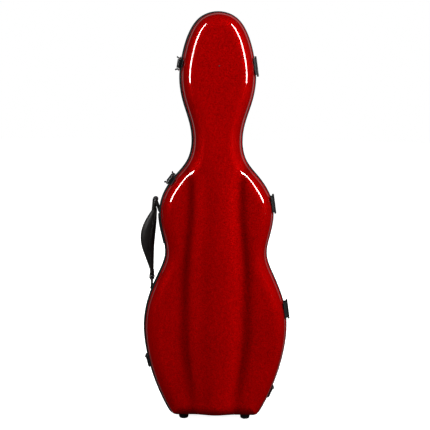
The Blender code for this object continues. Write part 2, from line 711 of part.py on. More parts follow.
def make_latch(name, height):
    """Draw latch: a channel plate with flared ears, a lever on a pin, a wire bail, and its catch."""
    frame = edge_frame(height, -1)
    slip = LID_SHIFT * frame.col[2].x
    wall = -FLARE + GAP + 0.1
    along = axes(frame, "xzy")
    across = axes(frame, "yzx")
    axis_y, axis_n = LEVER_AXIS
    half = LATCH_HALF
    ear = [(half, wall), (half, 6.5), (half + 2.2, 11.2), (half + 1.2, 12.0), (half - 1.2, 7.2),
           (half - 1.2, wall + 1.2)]
    channel = ear + [(-a, b) for a, b in ear[::-1]]
    plate = place(f"{name}_latch_plate", prism(channel, 12.5, 23.5, along), "hardware")
    side, low, high = half - 0.9, wall + 0.2, wall + 1.0
    foot = [(-side, low), (side, low), (side, high), (-side, high)]
    combine(plate, helper(f"{name}_plate_foot", prism(foot, 21, 31, along)), "UNION")
    bore = circle(LEVER_AXIS, BORE_RADIUS, 10)
    combine(plate, helper(f"{name}_ear_bore", prism(bore, -20, 20, across)), "DIFFERENCE")

    pin = [[across @ Vector((*p, w)) for p in circle(LEVER_AXIS, r, 10)]
           for r, w in ((0.6, -14.0), (PIN_RADIUS, -13.6), (PIN_RADIUS, 13.6), (0.6, 14.0))]
    place(f"{name}_latch_pin", loft(pin), "steel")

    pivot = frame @ Vector((0, axis_y, axis_n))
    hub = arc(LEVER_AXIS, 3.2, 100, 270, 6)
    lever = [*hub, (24, 2.2), (34, 3.4), (38, 5.4), (37.4, 6.6), (33, 5.6), (26.4, 6.6),
             (25.6, 9.4), (22.0, 10.4), (19.5, 9.6)]
    obj = place(f"{name}_latch_lever", prism(lever, -LEVER_HALF, LEVER_HALF, across), "hardware", pivot)
    combine(obj, helper(f"{name}_lever_bore", prism(bore, -15, 15, across)), "DIFFERENCE")
    bail_y, bail_n = axis_y + BAIL_OFFSET[0], axis_n + BAIL_OFFSET[1]
    groove = circle((bail_y, bail_n), 1.2, 10)
    combine(obj, helper(f"{name}_bail_bore", prism(groove, -16, 16, across)), "DIFFERENCE")

    bail_frame = frame_matrix(
        frame @ Vector((0, bail_y, bail_n)), -frame.col[1].to_3d(), frame.col[0].to_3d(),
        frame.col[2].to_3d(),
    )
    tilt = Matrix.Rotation(math.radians(1.9), 4, "Y")
    loop = rounded_loop(BAIL_REACH, 19.4, 1.6, bail_frame @ tilt, 2)
    wire_loop(f"{name}_latch_bail", loop, BAIL_WIRE, "steel", frame @ Vector((0, bail_y, bail_n)))

    wall += slip
    hook = [(-26, wall), (-12.6, wall), (-12.6, wall + 3.2), (-13.0, 7.6), (-14.6, 8.2),
            (-14.8, wall + 1.2), (-26, wall + 1.2)]
    place(f"{name}_latch_catch", prism(hook, -7.8, 7.8, across), "hardware")


# ---- handle ------------------------------------------------------------------------------------------


def edge_sweep(polygon, low, high, steps):
    """Solid with a section of (y, outward) points, swept along the left edge between two heights."""
    rings = []
    for i in range(steps + 1):
        frame = edge_frame(low + (high - low) * i / steps, -1)
        rings.append([frame @ Vector((0, y, n)) for y, n in polygon])
    return loft(rings)


def ring_anchor(z):
    """Centre of the barrel that holds a handle ring."""
    return edge_frame(z, -1) @ Vector((0, HANDLE_Y, RING_STANDOFF))


def side_frame(centre, direction):
    """Frame at a point with x along direction, y along world Y."""
    first = Vector((direction[0], 0, direction[1])).normalized()
    return frame_matrix(centre, first, Vector((0, 1, 0)), first.cross(Vector((0, 1, 0))))


def make_handle_bracket(name, z, low, high, flange):
    """Plate on the base's wall with a barrel for the ring."""
    wall = -FLARE + GAP + 0.3
    strip = [(12.8, wall), (34, wall - 1.2), (34, wall), (12.8, wall + 1.2)]
    obj = place(f"handle_{name}_bracket", edge_sweep(strip, low, high, 4), "hardware")
    if flange:
        out = BASE_TRIM_PROUD + 0.4
        bend = [(1.2, out), (8.0, out), (13.4, wall), (15.0, wall), (15.0, wall + 1.2),
                (13.8, wall + 1.2), (8.6, out + 1.3), (1.2, out + 1.3)]
        combine(obj, helper(f"{name}_flange", edge_sweep(bend, *flange, 4)), "UNION")
    frame = edge_frame(z, -1)
    section = axes(frame, "zxy")
    n = RING_STANDOFF
    barrel = [*arc((n, 0), 3.3, -150, 120, 9), *arc((n, 0), 2.3, 120, -150, 9)]
    leg = [(wall + 0.2, -5.5), (wall + 1.2, -5.5), (n - 2.4, -1.2), (n - 3.0, 1.8), (wall + 0.2, 3.0)]
    combine(obj, helper(f"{name}_barrel", prism(barrel, 15, 29, section)), "UNION")
    combine(obj, helper(f"{name}_leg", prism(leg, 15, 29, section)), "UNION")


def make_handle_ring(name, anchor, bar):
    bar = Vector((bar[0], HANDLE_Y, bar[1]))
    reach = bar - anchor
    loop = rounded_loop(reach.length, 24.0, 4.0, side_frame(anchor, (reach.x, reach.z)), 2)
    wire_loop(f"handle_{name}_ring", loop, HANDLE_RING_WIRE, "hardware", anchor)


def make_grip():
    """Padded grip with a straight inner side and a bowed outer side."""
    rings = []
    count = 12
    for i in range(count + 1):
        t = i / count
        z = GRIP_LOW + (GRIP_HIGH - GRIP_LOW) * t
        thick = GRIP_END + GRIP_BULGE * math.sin(math.pi * t) ** 0.85
        lean = -5.0 * math.cos(math.pi * t) ** 2 - (1.5 if t < 0.5 else 0.0) * math.cos(math.pi * t)
        half = GRIP_HALF_WIDTH * (0.62 + 0.38 * math.sin(math.pi * t))
        x = GRIP_INNER_X + lean * 0.9 - thick / 2
        ring = [Vector((x + thick / 2 * math.cos(a), HANDLE_Y + half * math.sin(a), z))
                for a in [2 * math.pi * k / 12 for k in range(12)]]
        rings.append(ring)
    bar = HANDLE_UPPER_BAR
    place("handle_grip", loft(rings), "grip", (bar[0], HANDLE_Y, bar[1]))


def make_handle_webbing():
    """Webbing that leaves the grip's ends and turns round the rings' outer bars.

    The lower loop has room to slip on its bar, because the two rings don't turn in step.
    """
    half = WEBBING_HALF_WIDTH
    ux, uz = HANDLE_UPPER_BAR
    lx, lz = HANDLE_LOWER_BAR
    upper = [(-129.5, GRIP_HIGH + 0.4), (ux - 5.0, uz - 9),
             *arc((ux, uz), UPPER_LOOP_RADIUS, 180, -40, 8), (ux + 0.6, uz - 6.4)]
    lower = [(-131.3, GRIP_LOW - 0.4), (lx - 5.2, lz + 5),
             *arc((lx, lz), LOWER_LOOP_RADIUS, 180, 400, 8), (lx + 0.6, lz + 7.0)]
    for name, path in (("upper", upper), ("lower", lower)):
        obj = prism(ribbon(path, 1.8), HANDLE_Y - half, HANDLE_Y + half, front_frame())
        place(f"handle_{name}_webbing", obj, "webbing")


# ---- carrying rings and feet ---------------------------------------------------------------------------


def make_strap_ring(name, frame, standoff, seat):
    """Folded bracket with a ring that hangs from it; the frame is (down, across, outward)."""
    path = [(16, seat + 0.7), (4.5, seat + 0.7), (1.2, standoff - 3.6)]
    path += arc((0, standoff), 3.0, -60, 200, 8)
    fold = prism(ribbon(path, 1.2), -9, 9, axes(frame, "xzy"))
    place(f"strap_{name}_bracket", fold, "hardware")
    centre = frame @ Vector((0, 0, standoff))
    flat = frame_matrix(centre, *[frame.col[i].to_3d() for i in range(3)])
    lean = flat @ Matrix.Rotation(math.radians(2), 4, "Y")
    wire_loop(f"strap_{name}_ring", rounded_loop(21, 25, 4, lean, 2), 1.7, "steel", centre)


def make_strap_rings():
    """Two rings on the side walls of the lower bout, and two on the back at the shoulders."""
    for name, side in (("left", -1), ("right", 1)):
        edge = edge_frame(LOWER_RING_HEIGHTS[name], side)
        along = edge.col[0].to_3d()
        down = along if along.z < 0 else -along
        outward = edge.col[2].to_3d()
        frame = frame_matrix(
            edge @ Vector((0, LOWER_RING_Y, 0)), down, outward.cross(down), outward
        )
        make_strap_ring(f"lower_{name}", frame, LOWER_RING_STANDOFF, -FLARE + GAP + 0.2)
        x, z = side * UPPER_RING_X, UPPER_RING_Z
        seat = max(base_face(x + dx, z - dz) for dx in (-9, 9) for dz in (0, 16)) + 0.4
        frame = frame_matrix(
            Vector((x, 0, z)), Vector((0, 0, -1)), Vector((-1, 0, 0)), Vector((0, 1, 0))
        )
        make_strap_ring(f"upper_{name}", frame, seat + UPPER_RING_STANDOFF, seat)


def bottom_height(x, y):
    """Height of a shell's underside at a depth from the seam, where the bottom is straight."""
    face = 0.5 * (lid_face(x, 20) + base_face(x, 20))
    rise = min(0.98, max(0.0, (abs(y) - ROUND_START) / (face - ROUND_START)))
    return BOTTOM_Z + FLARE + ROUND_WIDTH * (1 - math.sqrt(1 - rise * rise))


def make_feet():
    """Domed rubber bumpers whose tops follow the shells' undersides."""
    for half, sign in (("lid", -1), ("base", 1)):
        for side_name, side in (("left", -1), ("right", 1)):
            x, y = side * FOOT_X, sign * FOOT_Y
            angles = [2 * math.pi * i / ROUND_SIDES for i in range(ROUND_SIDES)]
            rings = []
            for radius, height in FOOT_PROFILE:
                rings.append([Vector((x + radius * math.cos(a), y + radius * math.sin(a), height))
                              for a in angles])
            for radius in (FOOT_RADIUS, 5.0):
                ring = []
                for a in angles:
                    px, py = x + radius * math.cos(a), y + radius * math.sin(a)
                    ring.append(Vector((px, py, bottom_height(px, py) - 0.6)))
                rings.append(ring)
            place(f"{half}_foot_{side_name}", loft(rings), "rubber")


def main():
    clear_scene()
    loop = perimeter()
    make_shells(loop)
    make_trims(loop)
    make_lid_liner(loop)
    make_base_liner(loop)
    make_supports()
    make_accessory_door()
    make_bow_holders()
    for name, height in HINGE_HEIGHTS.items():
        make_hinge(name, height)
    for name, height in LATCH_HEIGHTS.items():
        make_latch(name, height)
    make_handle_bracket("upper", HANDLE_TOP_Z, 350, 420, (350, 409))
    make_handle_bracket("lower", HANDLE_LOW_Z, 232, 262, None)
    make_handle_ring("upper", ring_anchor(HANDLE_TOP_Z), HANDLE_UPPER_BAR)
    make_handle_ring("lower", ring_anchor(HANDLE_LOW_Z), HANDLE_LOWER_BAR)
    make_grip()
    make_handle_webbing()
    make_strap_rings()
    make_feet()


main()
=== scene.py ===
"""Looks of the shaped violin case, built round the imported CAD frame.

The CAD frame is in metres. Geometry here is worked out in millimetres and scaled when a piece is made.
+Z runs up the case, -Y is the lid's side, +X the hinge side, and the seam lies in the plane y = 0.
"""

import functools
import math

import bmesh
import bpy
import numpy as np
from mathutils import Matrix, Vector


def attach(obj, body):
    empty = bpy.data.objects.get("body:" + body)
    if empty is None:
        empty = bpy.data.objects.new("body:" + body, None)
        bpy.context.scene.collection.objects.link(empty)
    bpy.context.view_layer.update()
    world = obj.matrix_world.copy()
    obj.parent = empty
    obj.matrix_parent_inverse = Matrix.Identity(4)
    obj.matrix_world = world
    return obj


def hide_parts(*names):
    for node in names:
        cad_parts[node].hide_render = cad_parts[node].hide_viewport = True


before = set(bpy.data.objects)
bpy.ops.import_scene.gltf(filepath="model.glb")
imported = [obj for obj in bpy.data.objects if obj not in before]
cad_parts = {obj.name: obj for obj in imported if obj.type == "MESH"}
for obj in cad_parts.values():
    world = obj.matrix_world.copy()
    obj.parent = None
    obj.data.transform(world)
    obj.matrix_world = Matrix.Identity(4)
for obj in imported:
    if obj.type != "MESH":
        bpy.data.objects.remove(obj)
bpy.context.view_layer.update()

MM = 0.001
GAP = 0.3  # clearance between pieces that fit into each other
X, Y, Z = Vector((1, 0, 0)), Vector((0, 1, 0)), Vector((0, 0, 1))

# ---- dimensions; the outline, the walls and the axes are those of the CAD model -------------------------

SIDE_POINTS = [
    (0, 804.5), (33.2, 793.9), (53.8, 766.3), (67.4, 722.7), (72.4, 680.8), (65.6, 633.9),
    (51.8, 589.7), (47.3, 556.2), (55.9, 515.6), (83.3, 479.9), (106.3, 440.1), (110.9, 412.1),
    (105.3, 371), (98.7, 328.8), (110.5, 292.4), (130.3, 244.8), (140.4, 190.8), (136.5, 140.7),
    (120.3, 79), (89.3, 11.5),
]
SIDE_END = (-0.505, -0.863)
SIDE_TOP_Z, SIDE_NEAR_X = 790, 40  # fittings stand on the outline below this z and beyond this x
BOTTOM_Z = 4.6
CORNER_RADIUS = 14.0
SMOOTHING = 50.0
LID_SHIFT = 1.2

SIDE_ROWS = 128
END_COLUMNS = 26
BEND_WEIGHT = 70.0

WALL = 2.8
EDGE_DEPTH = 3.2
FLARE = 2.0
ROUND_START = 14.0
ROUND_WIDTH = 30.0
ROUND_POWER = 2.4
ROUND_ROWS = 18

LID_SHELF, LID_CREST, LID_HEAD, LID_VALLEY = 54.0, 70.0, 62.0, 2.5
BASE_SHELF, BASE_CREST, BASE_HEAD = 57.0, 66.0, 60.0
HUMP_BOTTOM, HUMP_WAIST, HUMP_SHOULDER, HUMP_HEAD = 42.0, 61.0, 50.0, 190.0
LOW_BOUT_Z, WAIST_Z, SHOULDER_Z, HEAD_Z = 180.0, 277.0, 437.0, 605.0
VALLEY_WIDTH = 13.0
BASE_HUMP_WIDENING = 1.7

BASE_TRIM_PROUD, LID_TRIM_PROUD = 3.4, 1.3
TRIM_HEIGHT, TRIM_WEB = 7.0, 1.1

HINGE_X, HINGE_Z, HINGE_LEAN = 144.9, 219.4, -0.1421
HINGE_HEIGHTS = {"lower": 219.4, "middle": 431.0, "upper": 701.3}
HINGE_LENGTH, HINGE_LEAF, KNUCKLE_RADIUS, PIN_BORE = 36.0, 1.0, 2.1, 1.4

LATCH_HEIGHTS = {"head": 705.2, "shoulder": 474.5}
LATCH_HALF, LEVER_HALF = 12.0, 8.6
LEVER_AXIS = (16.5, 5.0)
BAIL_OFFSET = (6.0, 2.5)
BAIL_REACH, BAIL_WIRE = 38.7, 0.8

HANDLE_Y = 22.0
HANDLE_TOP_Z, HANDLE_LOW_Z = 413.6, 256.0
RING_STANDOFF = 2.8
HANDLE_UPPER_BAR = (-122.2, 436.1)
HANDLE_LOWER_BAR = (-128.6, 278.7)
HANDLE_RING_WIRES = {"upper": 2.4, "lower": 1.8}
GRIP_LOW, GRIP_HIGH, GRIP_HALF_WIDTH = 289.4, 418.6, 17.0
GRIP_LOW_X, GRIP_HIGH_X = -124.2, -118.2
GRIP_THIN, GRIP_SWELL, GRIP_SKEW = 9.5, 21.5, 1.3
WEBBING_HALF_WIDTH = 9.0
UPPER_LOOP_RADIUS, LOWER_LOOP_RADIUS, LOWER_LOOP_SQUASH = 4.2, 4.9, 0.88
BAR_BOSS = ((3.1, 0.0), (3.4, 0.5), (3.2, 1.7), (1.9, 2.5))  # radius, height

LOWER_RING_HEIGHTS = {"left": 117.0, "right": 55.3}
LOWER_RING_Y, LOWER_RING_STANDOFF = 26.0, 7.2
UPPER_RING_X, UPPER_RING_Z, UPPER_RING_STANDOFF = 46.0, 477.0, 4.4

FOOT_X, FOOT_Y, FOOT_RADIUS = 61.3, 23.0, 9.7

VIOLIN_POCKET = [
    (0, 104), (52, 106), (92, 126), (111, 168), (110, 206), (86, 250), (66, 286), (63, 322),
    (76, 356), (93, 388), (88, 428), (62, 460), (30, 478),
]
NECK_HALF, CRADLE_Z = 30.0, 544.0
SCROLL_POCKET = [(30, 596), (42, 620), (46, 668), (40, 712), (22, 738), (0, 744)]
POCKET_FLOOR = 46.5
COMPARTMENT = (76.0, 52.0, 88.0, 44.0)
DOOR_AXIS = (2.9, 96.0)
LINER_TOP = 1.5

BOW_X, BOW_Z = 57.0, 124.0
TIP_X, TIP_Z = 18.0, 735.0

HEAD_RIVET = (1.5, 700.0)

# ---- camera, lights and stage -----------------------------------------------------------------------

CAMERA_AT = (-0.0026, -2.265, 0.645)
CAMERA_PITCH = -5.993
CAMERA_ROLL = 0.57
CAMERA_LENS = 95.8


def link(obj):
    bpy.context.scene.collection.objects.link(obj)
    return obj


def make_camera():
    data = bpy.data.cameras.new("camera")
    data.lens = CAMERA_LENS
    data.sensor_width = 36.0
    camera = link(bpy.data.objects.new("camera", data))
    turn = Matrix.Rotation(math.radians(90 + CAMERA_PITCH), 4, "X")
    roll = Matrix.Rotation(math.radians(CAMERA_ROLL), 4, "Z")
    camera.matrix_world = Matrix.Translation(CAMERA_AT) @ turn @ roll
    bpy.context.scene.camera = camera


def area_light(name, at, target, size, power, mirrored):
    """Rectangular lamp; one that the gloss mirrors gives no light to matt surfaces, and the reverse."""
    data = bpy.data.lights.new(name, "AREA")
    data.shape = "RECTANGLE"
    data.size, data.size_y = size
    data.energy = power
    lamp = link(bpy.data.objects.new(name, data))
    lamp.location = at
    lamp.rotation_euler = (Vector(target) - Vector(at)).to_track_quat("-Z", "Y").to_euler()
    lamp.visible_glossy = mirrored
    lamp.visible_diffuse = not mirrored
    lamp.visible_camera = False


def make_lights():
    """Two tall strips for the highlights, and broad lamps that light the colours."""
    for name, side in (("left", -1), ("right", 1)):
        area_light(name + "_strip", (side * 0.80, -0.25, 1.20), (0, -0.13, 1.20), (0.18, 1.18), 26, True)
    area_light("key", (0.75, -1.5, 1.85), (0, 0, 0.6), (1.2, 1.2), 34.5, False)
    area_light("left_wash", (-2.1, -0.8, 1.0), (0, 0, 0.40), (0.7, 1.6), 25, False)
    area_light("right_wash", (2.1, -0.8, 1.0), (0, 0, 0.42), (0.7, 1.6), 32, False)
    area_light("back_fill", (0.4, 2.6, 1.9), (0, 0, 0.45), (1.6, 1.6), 50, False)


def make_world():
    """White to the eye, soft to matt surfaces; the gloss mirrors a dark room with a bright wall behind."""
    world = bpy.data.worlds.new("studio")
    bpy.context.scene.world = world
    world.use_nodes = True
    world.node_tree.nodes.clear()
    nodes = Nodes(world.node_tree)
    direction = nodes.add("NewGeometry").outputs["Position"]
    toward = nodes.add("SeparateXYZ", {"Vector": direction}).outputs["Y"]
    wall = nodes.ramp(toward, (0.87, (0.003, 0.003, 0.003)), (0.97, (0.35, 0.35, 0.35)))
    mirrored, fill, plain = [
        nodes.add("Background", {"Color": color, "Strength": strength}).outputs[0]
        for color, strength in ((wall, 1.0), (WHITE, 0.17), (WHITE, 1.0))
    ]
    path = nodes.add("LightPath").outputs
    by_gloss = nodes.add("MixShader", {0: path["Is Glossy Ray"], 1: fill, 2: mirrored}).outputs[0]
    by_eye = nodes.add("MixShader", {0: path["Is Camera Ray"], 1: by_gloss, 2: plain}).outputs[0]
    nodes.add("OutputWorld", {"Surface": by_eye})


def make_floor():
    """A wide pale floor that casts no colour on the case and isn't mirrored in it."""
    bm = bmesh.new()
    bmesh.ops.create_circle(bm, cap_ends=True, segments=96, radius=14.0)
    mesh = bpy.data.meshes.new("floor")
    bm.to_mesh(mesh)
    bm.free()
    floor = link(bpy.data.objects.new("floor", mesh))
    floor.visible_glossy = False
    floor.visible_diffuse = False
    mesh.materials.append(Look("floor_paper").finish(
        Base_Color=(0.9, 0.9, 0.9, 1), Roughness=0.9, Specular_IOR_Level=0.1,
        Emission_Color=WHITE, Emission_Strength=0.95))


# ---- materials --------------------------------------------------------------------------------------

WHITE = (1, 1, 1, 1)


class Nodes:
    """Short calls that add nodes to one node tree."""

    def __init__(self, tree):
        self.tree = tree

    def add(self, kind, inputs=None, **settings):
        made = self.tree.nodes.new("ShaderNode" + kind)
        for key, value in settings.items():
            setattr(made, key, value)
        self.feed(made, inputs or {})
        return made

    def feed(self, target, inputs):
        """Sets a node's inputs to values, or links them to sockets."""
        for key, value in inputs.items():
            if isinstance(value, bpy.types.NodeSocket):
                self.tree.links.new(value, target.inputs[key])
            else:
                target.inputs[key].default_value = value

    @functools.cached_property
    def coords(self):
        return self.add("TexCoord").outputs["Object"]

    def math(self, operation, *values):
        return self.add("Math", dict(enumerate(values)), operation=operation).outputs[0]

    def vector(self, operation, inputs):
        return self.add("VectorMath", inputs, operation=operation).outputs[0]

    def noise(self, scale, detail=2.0, roughness=0.5, vector=None):
        at = self.coords if vector is None else vector
        inputs = {"Vector": at, "Scale": scale, "Detail": detail, "Roughness": roughness}
        return self.add("TexNoise", inputs).outputs["Fac"]

    def ramp(self, value, *stops):
        """Colour ramp between two (position, colour) stops."""
        made = self.add("ValToRGB", {"Fac": value})
        for element, (position, color) in zip(made.color_ramp.elements, stops):
            element.position = position
            element.color = (*color, 1)
        return made.outputs["Color"]

    def span(self, value, low, high):
        """Maps 0..1 to low..high."""
        return self.add("MapRange", {"Value": value, "To Min": low, "To Max": high}).outputs["Result"]

    def bump(self, height, distance, strength, **normal):
        inputs = {"Height": height, "Distance": distance, "Strength": strength, **normal}
        return self.add("Bump", inputs).outputs["Normal"]


class Look(Nodes):
    """A material whose nodes are being added."""

    def __init__(self, name):
        self.material = bpy.data.materials.new(name)
        self.material.use_nodes = True
        super().__init__(self.material.node_tree)

    def finish(self, **values):
        """Feeds the shader's inputs, which are named with underscores for spaces."""
        shader = self.tree.nodes["Principled BSDF"]
        self.feed(shader, {key.replace("_", " "): value for key, value in values.items()})
        return self.material


FLAKE_SIZE = 0.0012
DEEP_RED, BRIGHT_RED, FLECK = (0.16, 0.0001, 0.0001), (0.50, 0.0002, 0.0002), (0.5, 0.01, 0.01)
# Colour factors for painted shade in the hollows beside the hump and painted highlight on its flanks.
PAINTED_SHADE, PAINTED_HIGHLIGHT = 0.46, 1.2


def red_gel_coat():
    """Red lacquer with flakes under a clear coat, with painted shade in hollows and painted highlight on
    flanks.

    The mesh's attribute painted_shading is 1 in a hollow, for painted shade, and -1 on the flank of a
    ridge, for painted highlight.
    """
    look = Look("red_gel_coat")
    cells, fine = [look.add("TexVoronoi", {"Vector": look.coords, "Scale": share / FLAKE_SIZE})
                   .outputs["Color"] for share in (1, 1.7)]
    split, fine_split = [look.add("SeparateColor", {"Color": color}).outputs for color in (cells, fine)]
    mottle = look.math("MULTIPLY", look.noise(230.0, 2.0, 0.6), 0.3)
    tone = look.math("MULTIPLY_ADD", look.noise(9.0, 3.0), 0.25, mottle)
    blend = look.math("MULTIPLY_ADD", split["Red"], 0.45, tone)
    color = look.ramp(blend, (0.1, DEEP_RED), (0.9, BRIGHT_RED))
    fleck = look.math("MULTIPLY", look.math("GREATER_THAN", fine_split["Green"], 0.965), 0.55)
    flecked = look.add("Mix", {0: fleck, 6: color, 7: (*FLECK, 1)}, data_type="RGBA").outputs[2]
    # Painted light: the colour is darkened in the hollows as painted shade and lightened on the hump's
    # flanks as painted highlight.
    painted_shading = look.add("Attribute", attribute_name="painted_shading").outputs["Fac"]
    valley_shade = look.math("MULTIPLY_ADD", look.math("MAXIMUM", painted_shading, 0.0), PAINTED_SHADE - 1, 1.0)
    # This factor scales the colour: below 1 as painted shade in hollows, above 1 as painted highlight on
    # flanks.
    depth = look.math("MULTIPLY_ADD", look.math("MINIMUM", painted_shading, 0.0), 1 - PAINTED_HIGHLIGHT, valley_shade)
    tilt = look.vector("SUBTRACT", {0: cells, 1: (0.5, 0.5, 0.5)})
    lean = look.vector("SCALE", {0: tilt, "Scale": 0.3})
    leaned = look.vector("ADD", {0: look.add("NewGeometry").outputs["Normal"], 1: lean})
    return look.finish(
        Base_Color=look.vector("SCALE", {0: flecked, "Scale": depth}),
        Normal=look.vector("NORMALIZE", {0: leaned}), Roughness=look.span(split["Blue"], 0.36, 0.52),
        Metallic=0.1, Specular_IOR_Level=0.0, Coat_Weight=1.0, Coat_Roughness=0.03, Coat_IOR=1.5,
        Coat_Normal=look.bump(look.noise(140.0), 0.00002, 0.35))


def grained(name, tone, stops, grain, roughness, relief, stretch=(1.0, 1.0, 1.0), **values):
    """Material with a toned colour, and a grain that drives its roughness and its relief."""
    look = Look(name)
    at = look.add("Mapping", {"Vector": look.coords, "Scale": stretch}).outputs[0]
    fine = look.noise(*grain, at)
    return look.finish(Base_Color=look.ramp(look.noise(*tone), *stops),
                       Roughness=look.span(fine, *roughness), Normal=look.bump(fine, *relief), **values)


def powder_coat():
    """Satin black powder coating, rubbed lighter on its edges."""
    look = Look("black_powder_coat")
    orange = look.noise(1500.0)
    edge = look.add("NewGeometry").outputs["Pointiness"]
    rub = look.math("MULTIPLY", look.ramp(edge, (0.54, (0, 0, 0)), (0.62, (1, 1, 1))),
                    look.noise(240.0, 4.0, 0.7))
    return look.finish(Base_Color=look.ramp(rub, (0.1, (0.012, 0.012, 0.0125)), (0.9, (0.09, 0.09, 0.092))),
                       Roughness=look.span(orange, 0.28, 0.5), Normal=look.bump(orange, 0.00006, 0.6),
                       Specular_IOR_Level=0.22)


def velour(name, dark, light):
    """Short pile that lies in patches, with a soft sheen at grazing angles."""
    look = Look(name)
    nap = look.noise(26.0, 4.0, 0.65)
    pile = look.noise(1400.0, 3.0, 0.7)
    both = look.math("MULTIPLY_ADD", nap, 0.7, look.math("MULTIPLY", pile, 0.3))
    return look.finish(Base_Color=look.ramp(both, (0.32, dark), (0.68, light)),
                       Roughness=look.span(pile, 0.82, 1.0),
                       Normal=look.bump(pile, 0.0006, 0.55, Normal=look.bump(nap, 0.0025, 0.25)),
                       Sheen_Weight=0.55, Sheen_Roughness=0.35, Sheen_Tint=(0.75, 0.76, 0.8, 1),
                       Specular_IOR_Level=0.15)


def woven(name, pitch, dark, light):
    """Plain weave in the piece's UV map, which is in metres along and across the strap."""
    look = Look(name)
    uv = look.add("UVMap", uv_map="weave").outputs["UV"]
    along, across = [look.math("MULTIPLY", part, math.pi / pitch)
                     for part in look.add("SeparateXYZ", {"Vector": uv}).outputs[:2]]
    odd = look.math("FLOOR", look.math("DIVIDE", across, math.pi))
    shifted = look.math("MULTIPLY_ADD", odd, math.pi / 2, along)
    over, thread = [look.math("ABSOLUTE", look.math("SINE", part)) for part in (shifted, across)]
    height = look.math("MULTIPLY", look.math("MULTIPLY", over, thread), 0.75)
    fibre = look.noise(2600.0, 3.0, 0.7)
    mixed = look.math("MULTIPLY_ADD", fibre, 0.35, height)
    return look.finish(Base_Color=look.ramp(mixed, (0.1, dark), (0.9, light)),
                       Roughness=look.span(fibre, 0.6, 0.85), Normal=look.bump(mixed, pitch * 0.35, 0.8),
                       Sheen_Weight=0.2, Sheen_Roughness=0.4)


def leatherette():
    """Soft brown-black leatherette with a pebble grain and pressed creases."""
    look = Look("grip_leatherette")
    pebble = look.add("TexVoronoi", {"Vector": look.coords, "Scale": 1 / 0.0012},
                      feature="SMOOTH_F1").outputs["Distance"]
    crease = look.noise(75.0, 4.0, 0.6)
    tone = look.math("MULTIPLY_ADD", crease, 0.7, look.math("MULTIPLY", pebble, 0.4))
    return look.finish(
        Base_Color=look.ramp(tone, (0.3, (0.005, 0.0045, 0.0045)), (0.75, (0.018, 0.015, 0.014))),
        Roughness=look.span(crease, 0.45, 0.65), Specular_IOR_Level=0.18,
        Normal=look.bump(pebble, 0.0003, 0.7, Normal=look.bump(crease, 0.0016, 0.4)))


MATERIALS = {}


def make_materials():
    MATERIALS["shell"] = red_gel_coat()
    MATERIALS["rubber"] = grained(
        "black_rubber", (22.0, 4.0, 0.6), ((0.35, (0.009, 0.009, 0.0095)), (0.8, (0.022, 0.022, 0.023))),
        (900.0, 3.0, 0.6), (0.55, 0.78), (0.0001, 0.5), Specular_IOR_Level=0.15)
    MATERIALS["hardware"] = powder_coat()
    MATERIALS["steel"] = grained(
        "plated_steel", (160.0, 3.0, 0.6), ((0.35, (0.36, 0.355, 0.345)), (0.6, (0.62, 0.62, 0.61))),
        (1800.0, 3.0, 0.6), (0.18, 0.42), (0.00002, 0.4), (1.0, 1.0, 0.08), Metallic=1.0)
    MATERIALS["dark_steel"] = grained(
        "black_nickel", (90.0, 3.0, 0.6), ((0.35, (0.035, 0.035, 0.037)), (0.7, (0.11, 0.11, 0.112))),
        (700.0, 4.0, 0.7), (0.2, 0.45), (0.00003, 0.5), Metallic=1.0)
    MATERIALS["liner"] = velour("liner_velour", (0.020, 0.020, 0.023), (0.060, 0.060, 0.066))
    MATERIALS["padding"] = velour("padding_velour", (0.030, 0.030, 0.034), (0.085, 0.085, 0.092))
    MATERIALS["webbing"] = woven("black_webbing", 0.0011, (0.006, 0.006, 0.007), (0.03, 0.03, 0.032))
    MATERIALS["grip"] = leatherette()
    MATERIALS["plastic"] = grained(
        "black_plastic", (60.0, 3.0, 0.5), ((0.3, (0.014, 0.014, 0.015)), (0.7, (0.026, 0.026, 0.027))),
        (1200.0, 2.0, 0.5), (0.32, 0.5), (0.00004, 0.6))
    MATERIALS["thread"] = grained(
        "sewing_thread", (3000.0, 2.0, 0.5), ((0.3, (0.018, 0.018, 0.018)), (0.7, (0.06, 0.06, 0.06))),
        (3000.0, 2.0, 0.5), (0.5, 0.7), (0.0001, 0.6))


# ---- making pieces ------------------------------------------------------------------------------------


def finish_mesh(name, bm, look, angle=40.0):
    """Object in metres from a bmesh in millimetres."""
    bmesh.ops.remove_doubles(bm, verts=bm.verts, dist=0.0005)
    bmesh.ops.recalc_face_normals(bm, faces=bm.faces)
    bmesh.ops.scale(bm, verts=bm.verts, vec=(MM, MM, MM))
    mesh = bpy.data.meshes.new(name)
    bm.to_mesh(mesh)
    bm.free()
    mesh.shade_smooth()
    mesh.set_sharp_from_angle(angle=math.radians(angle))
    mesh.materials.append(MATERIALS[look])
    return link(bpy.data.objects.new(name, mesh))


def settle(obj, body, slot, *nodes):
    """Rides the piece on its body, and says which CAD nodes it stands for."""
    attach(obj, body)
    if nodes:
        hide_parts(*nodes)


def quads(bm, first, second):
    """Faces between two loops of vertices with the same number of points."""
    for a, b, c, d in zip(first, first[1:] + first[:1], second[1:] + second[:1], second):
        bm.faces.new((a, b, c, d))


class Loop(list):
    """Rings that run back into the first one, so that they need no caps."""


def bands(bm, rings):
    """Skin through rings with the same number of points, added to a bmesh."""
    made = [[bm.verts.new(p) for p in ring] for ring in rings]
    for low, high in zip(made, made[1:]):
        quads(bm, low, high)
    first, last = made[0], made[-1]
    if isinstance(rings, Loop):
        seam = min(range(len(last)), key=lambda k: (last[k].co - first[0].co).length)
        quads(bm, last[seam:] + last[:seam], first)
    else:
        bm.faces.new(first[::-1])
        bm.faces.new(last)


def solid(name, look, angle, solids):
    """Object from lists of rings."""
    bm = bmesh.new()
    for rings in solids:
        bands(bm, rings)
    return finish_mesh(name, bm, look, angle)


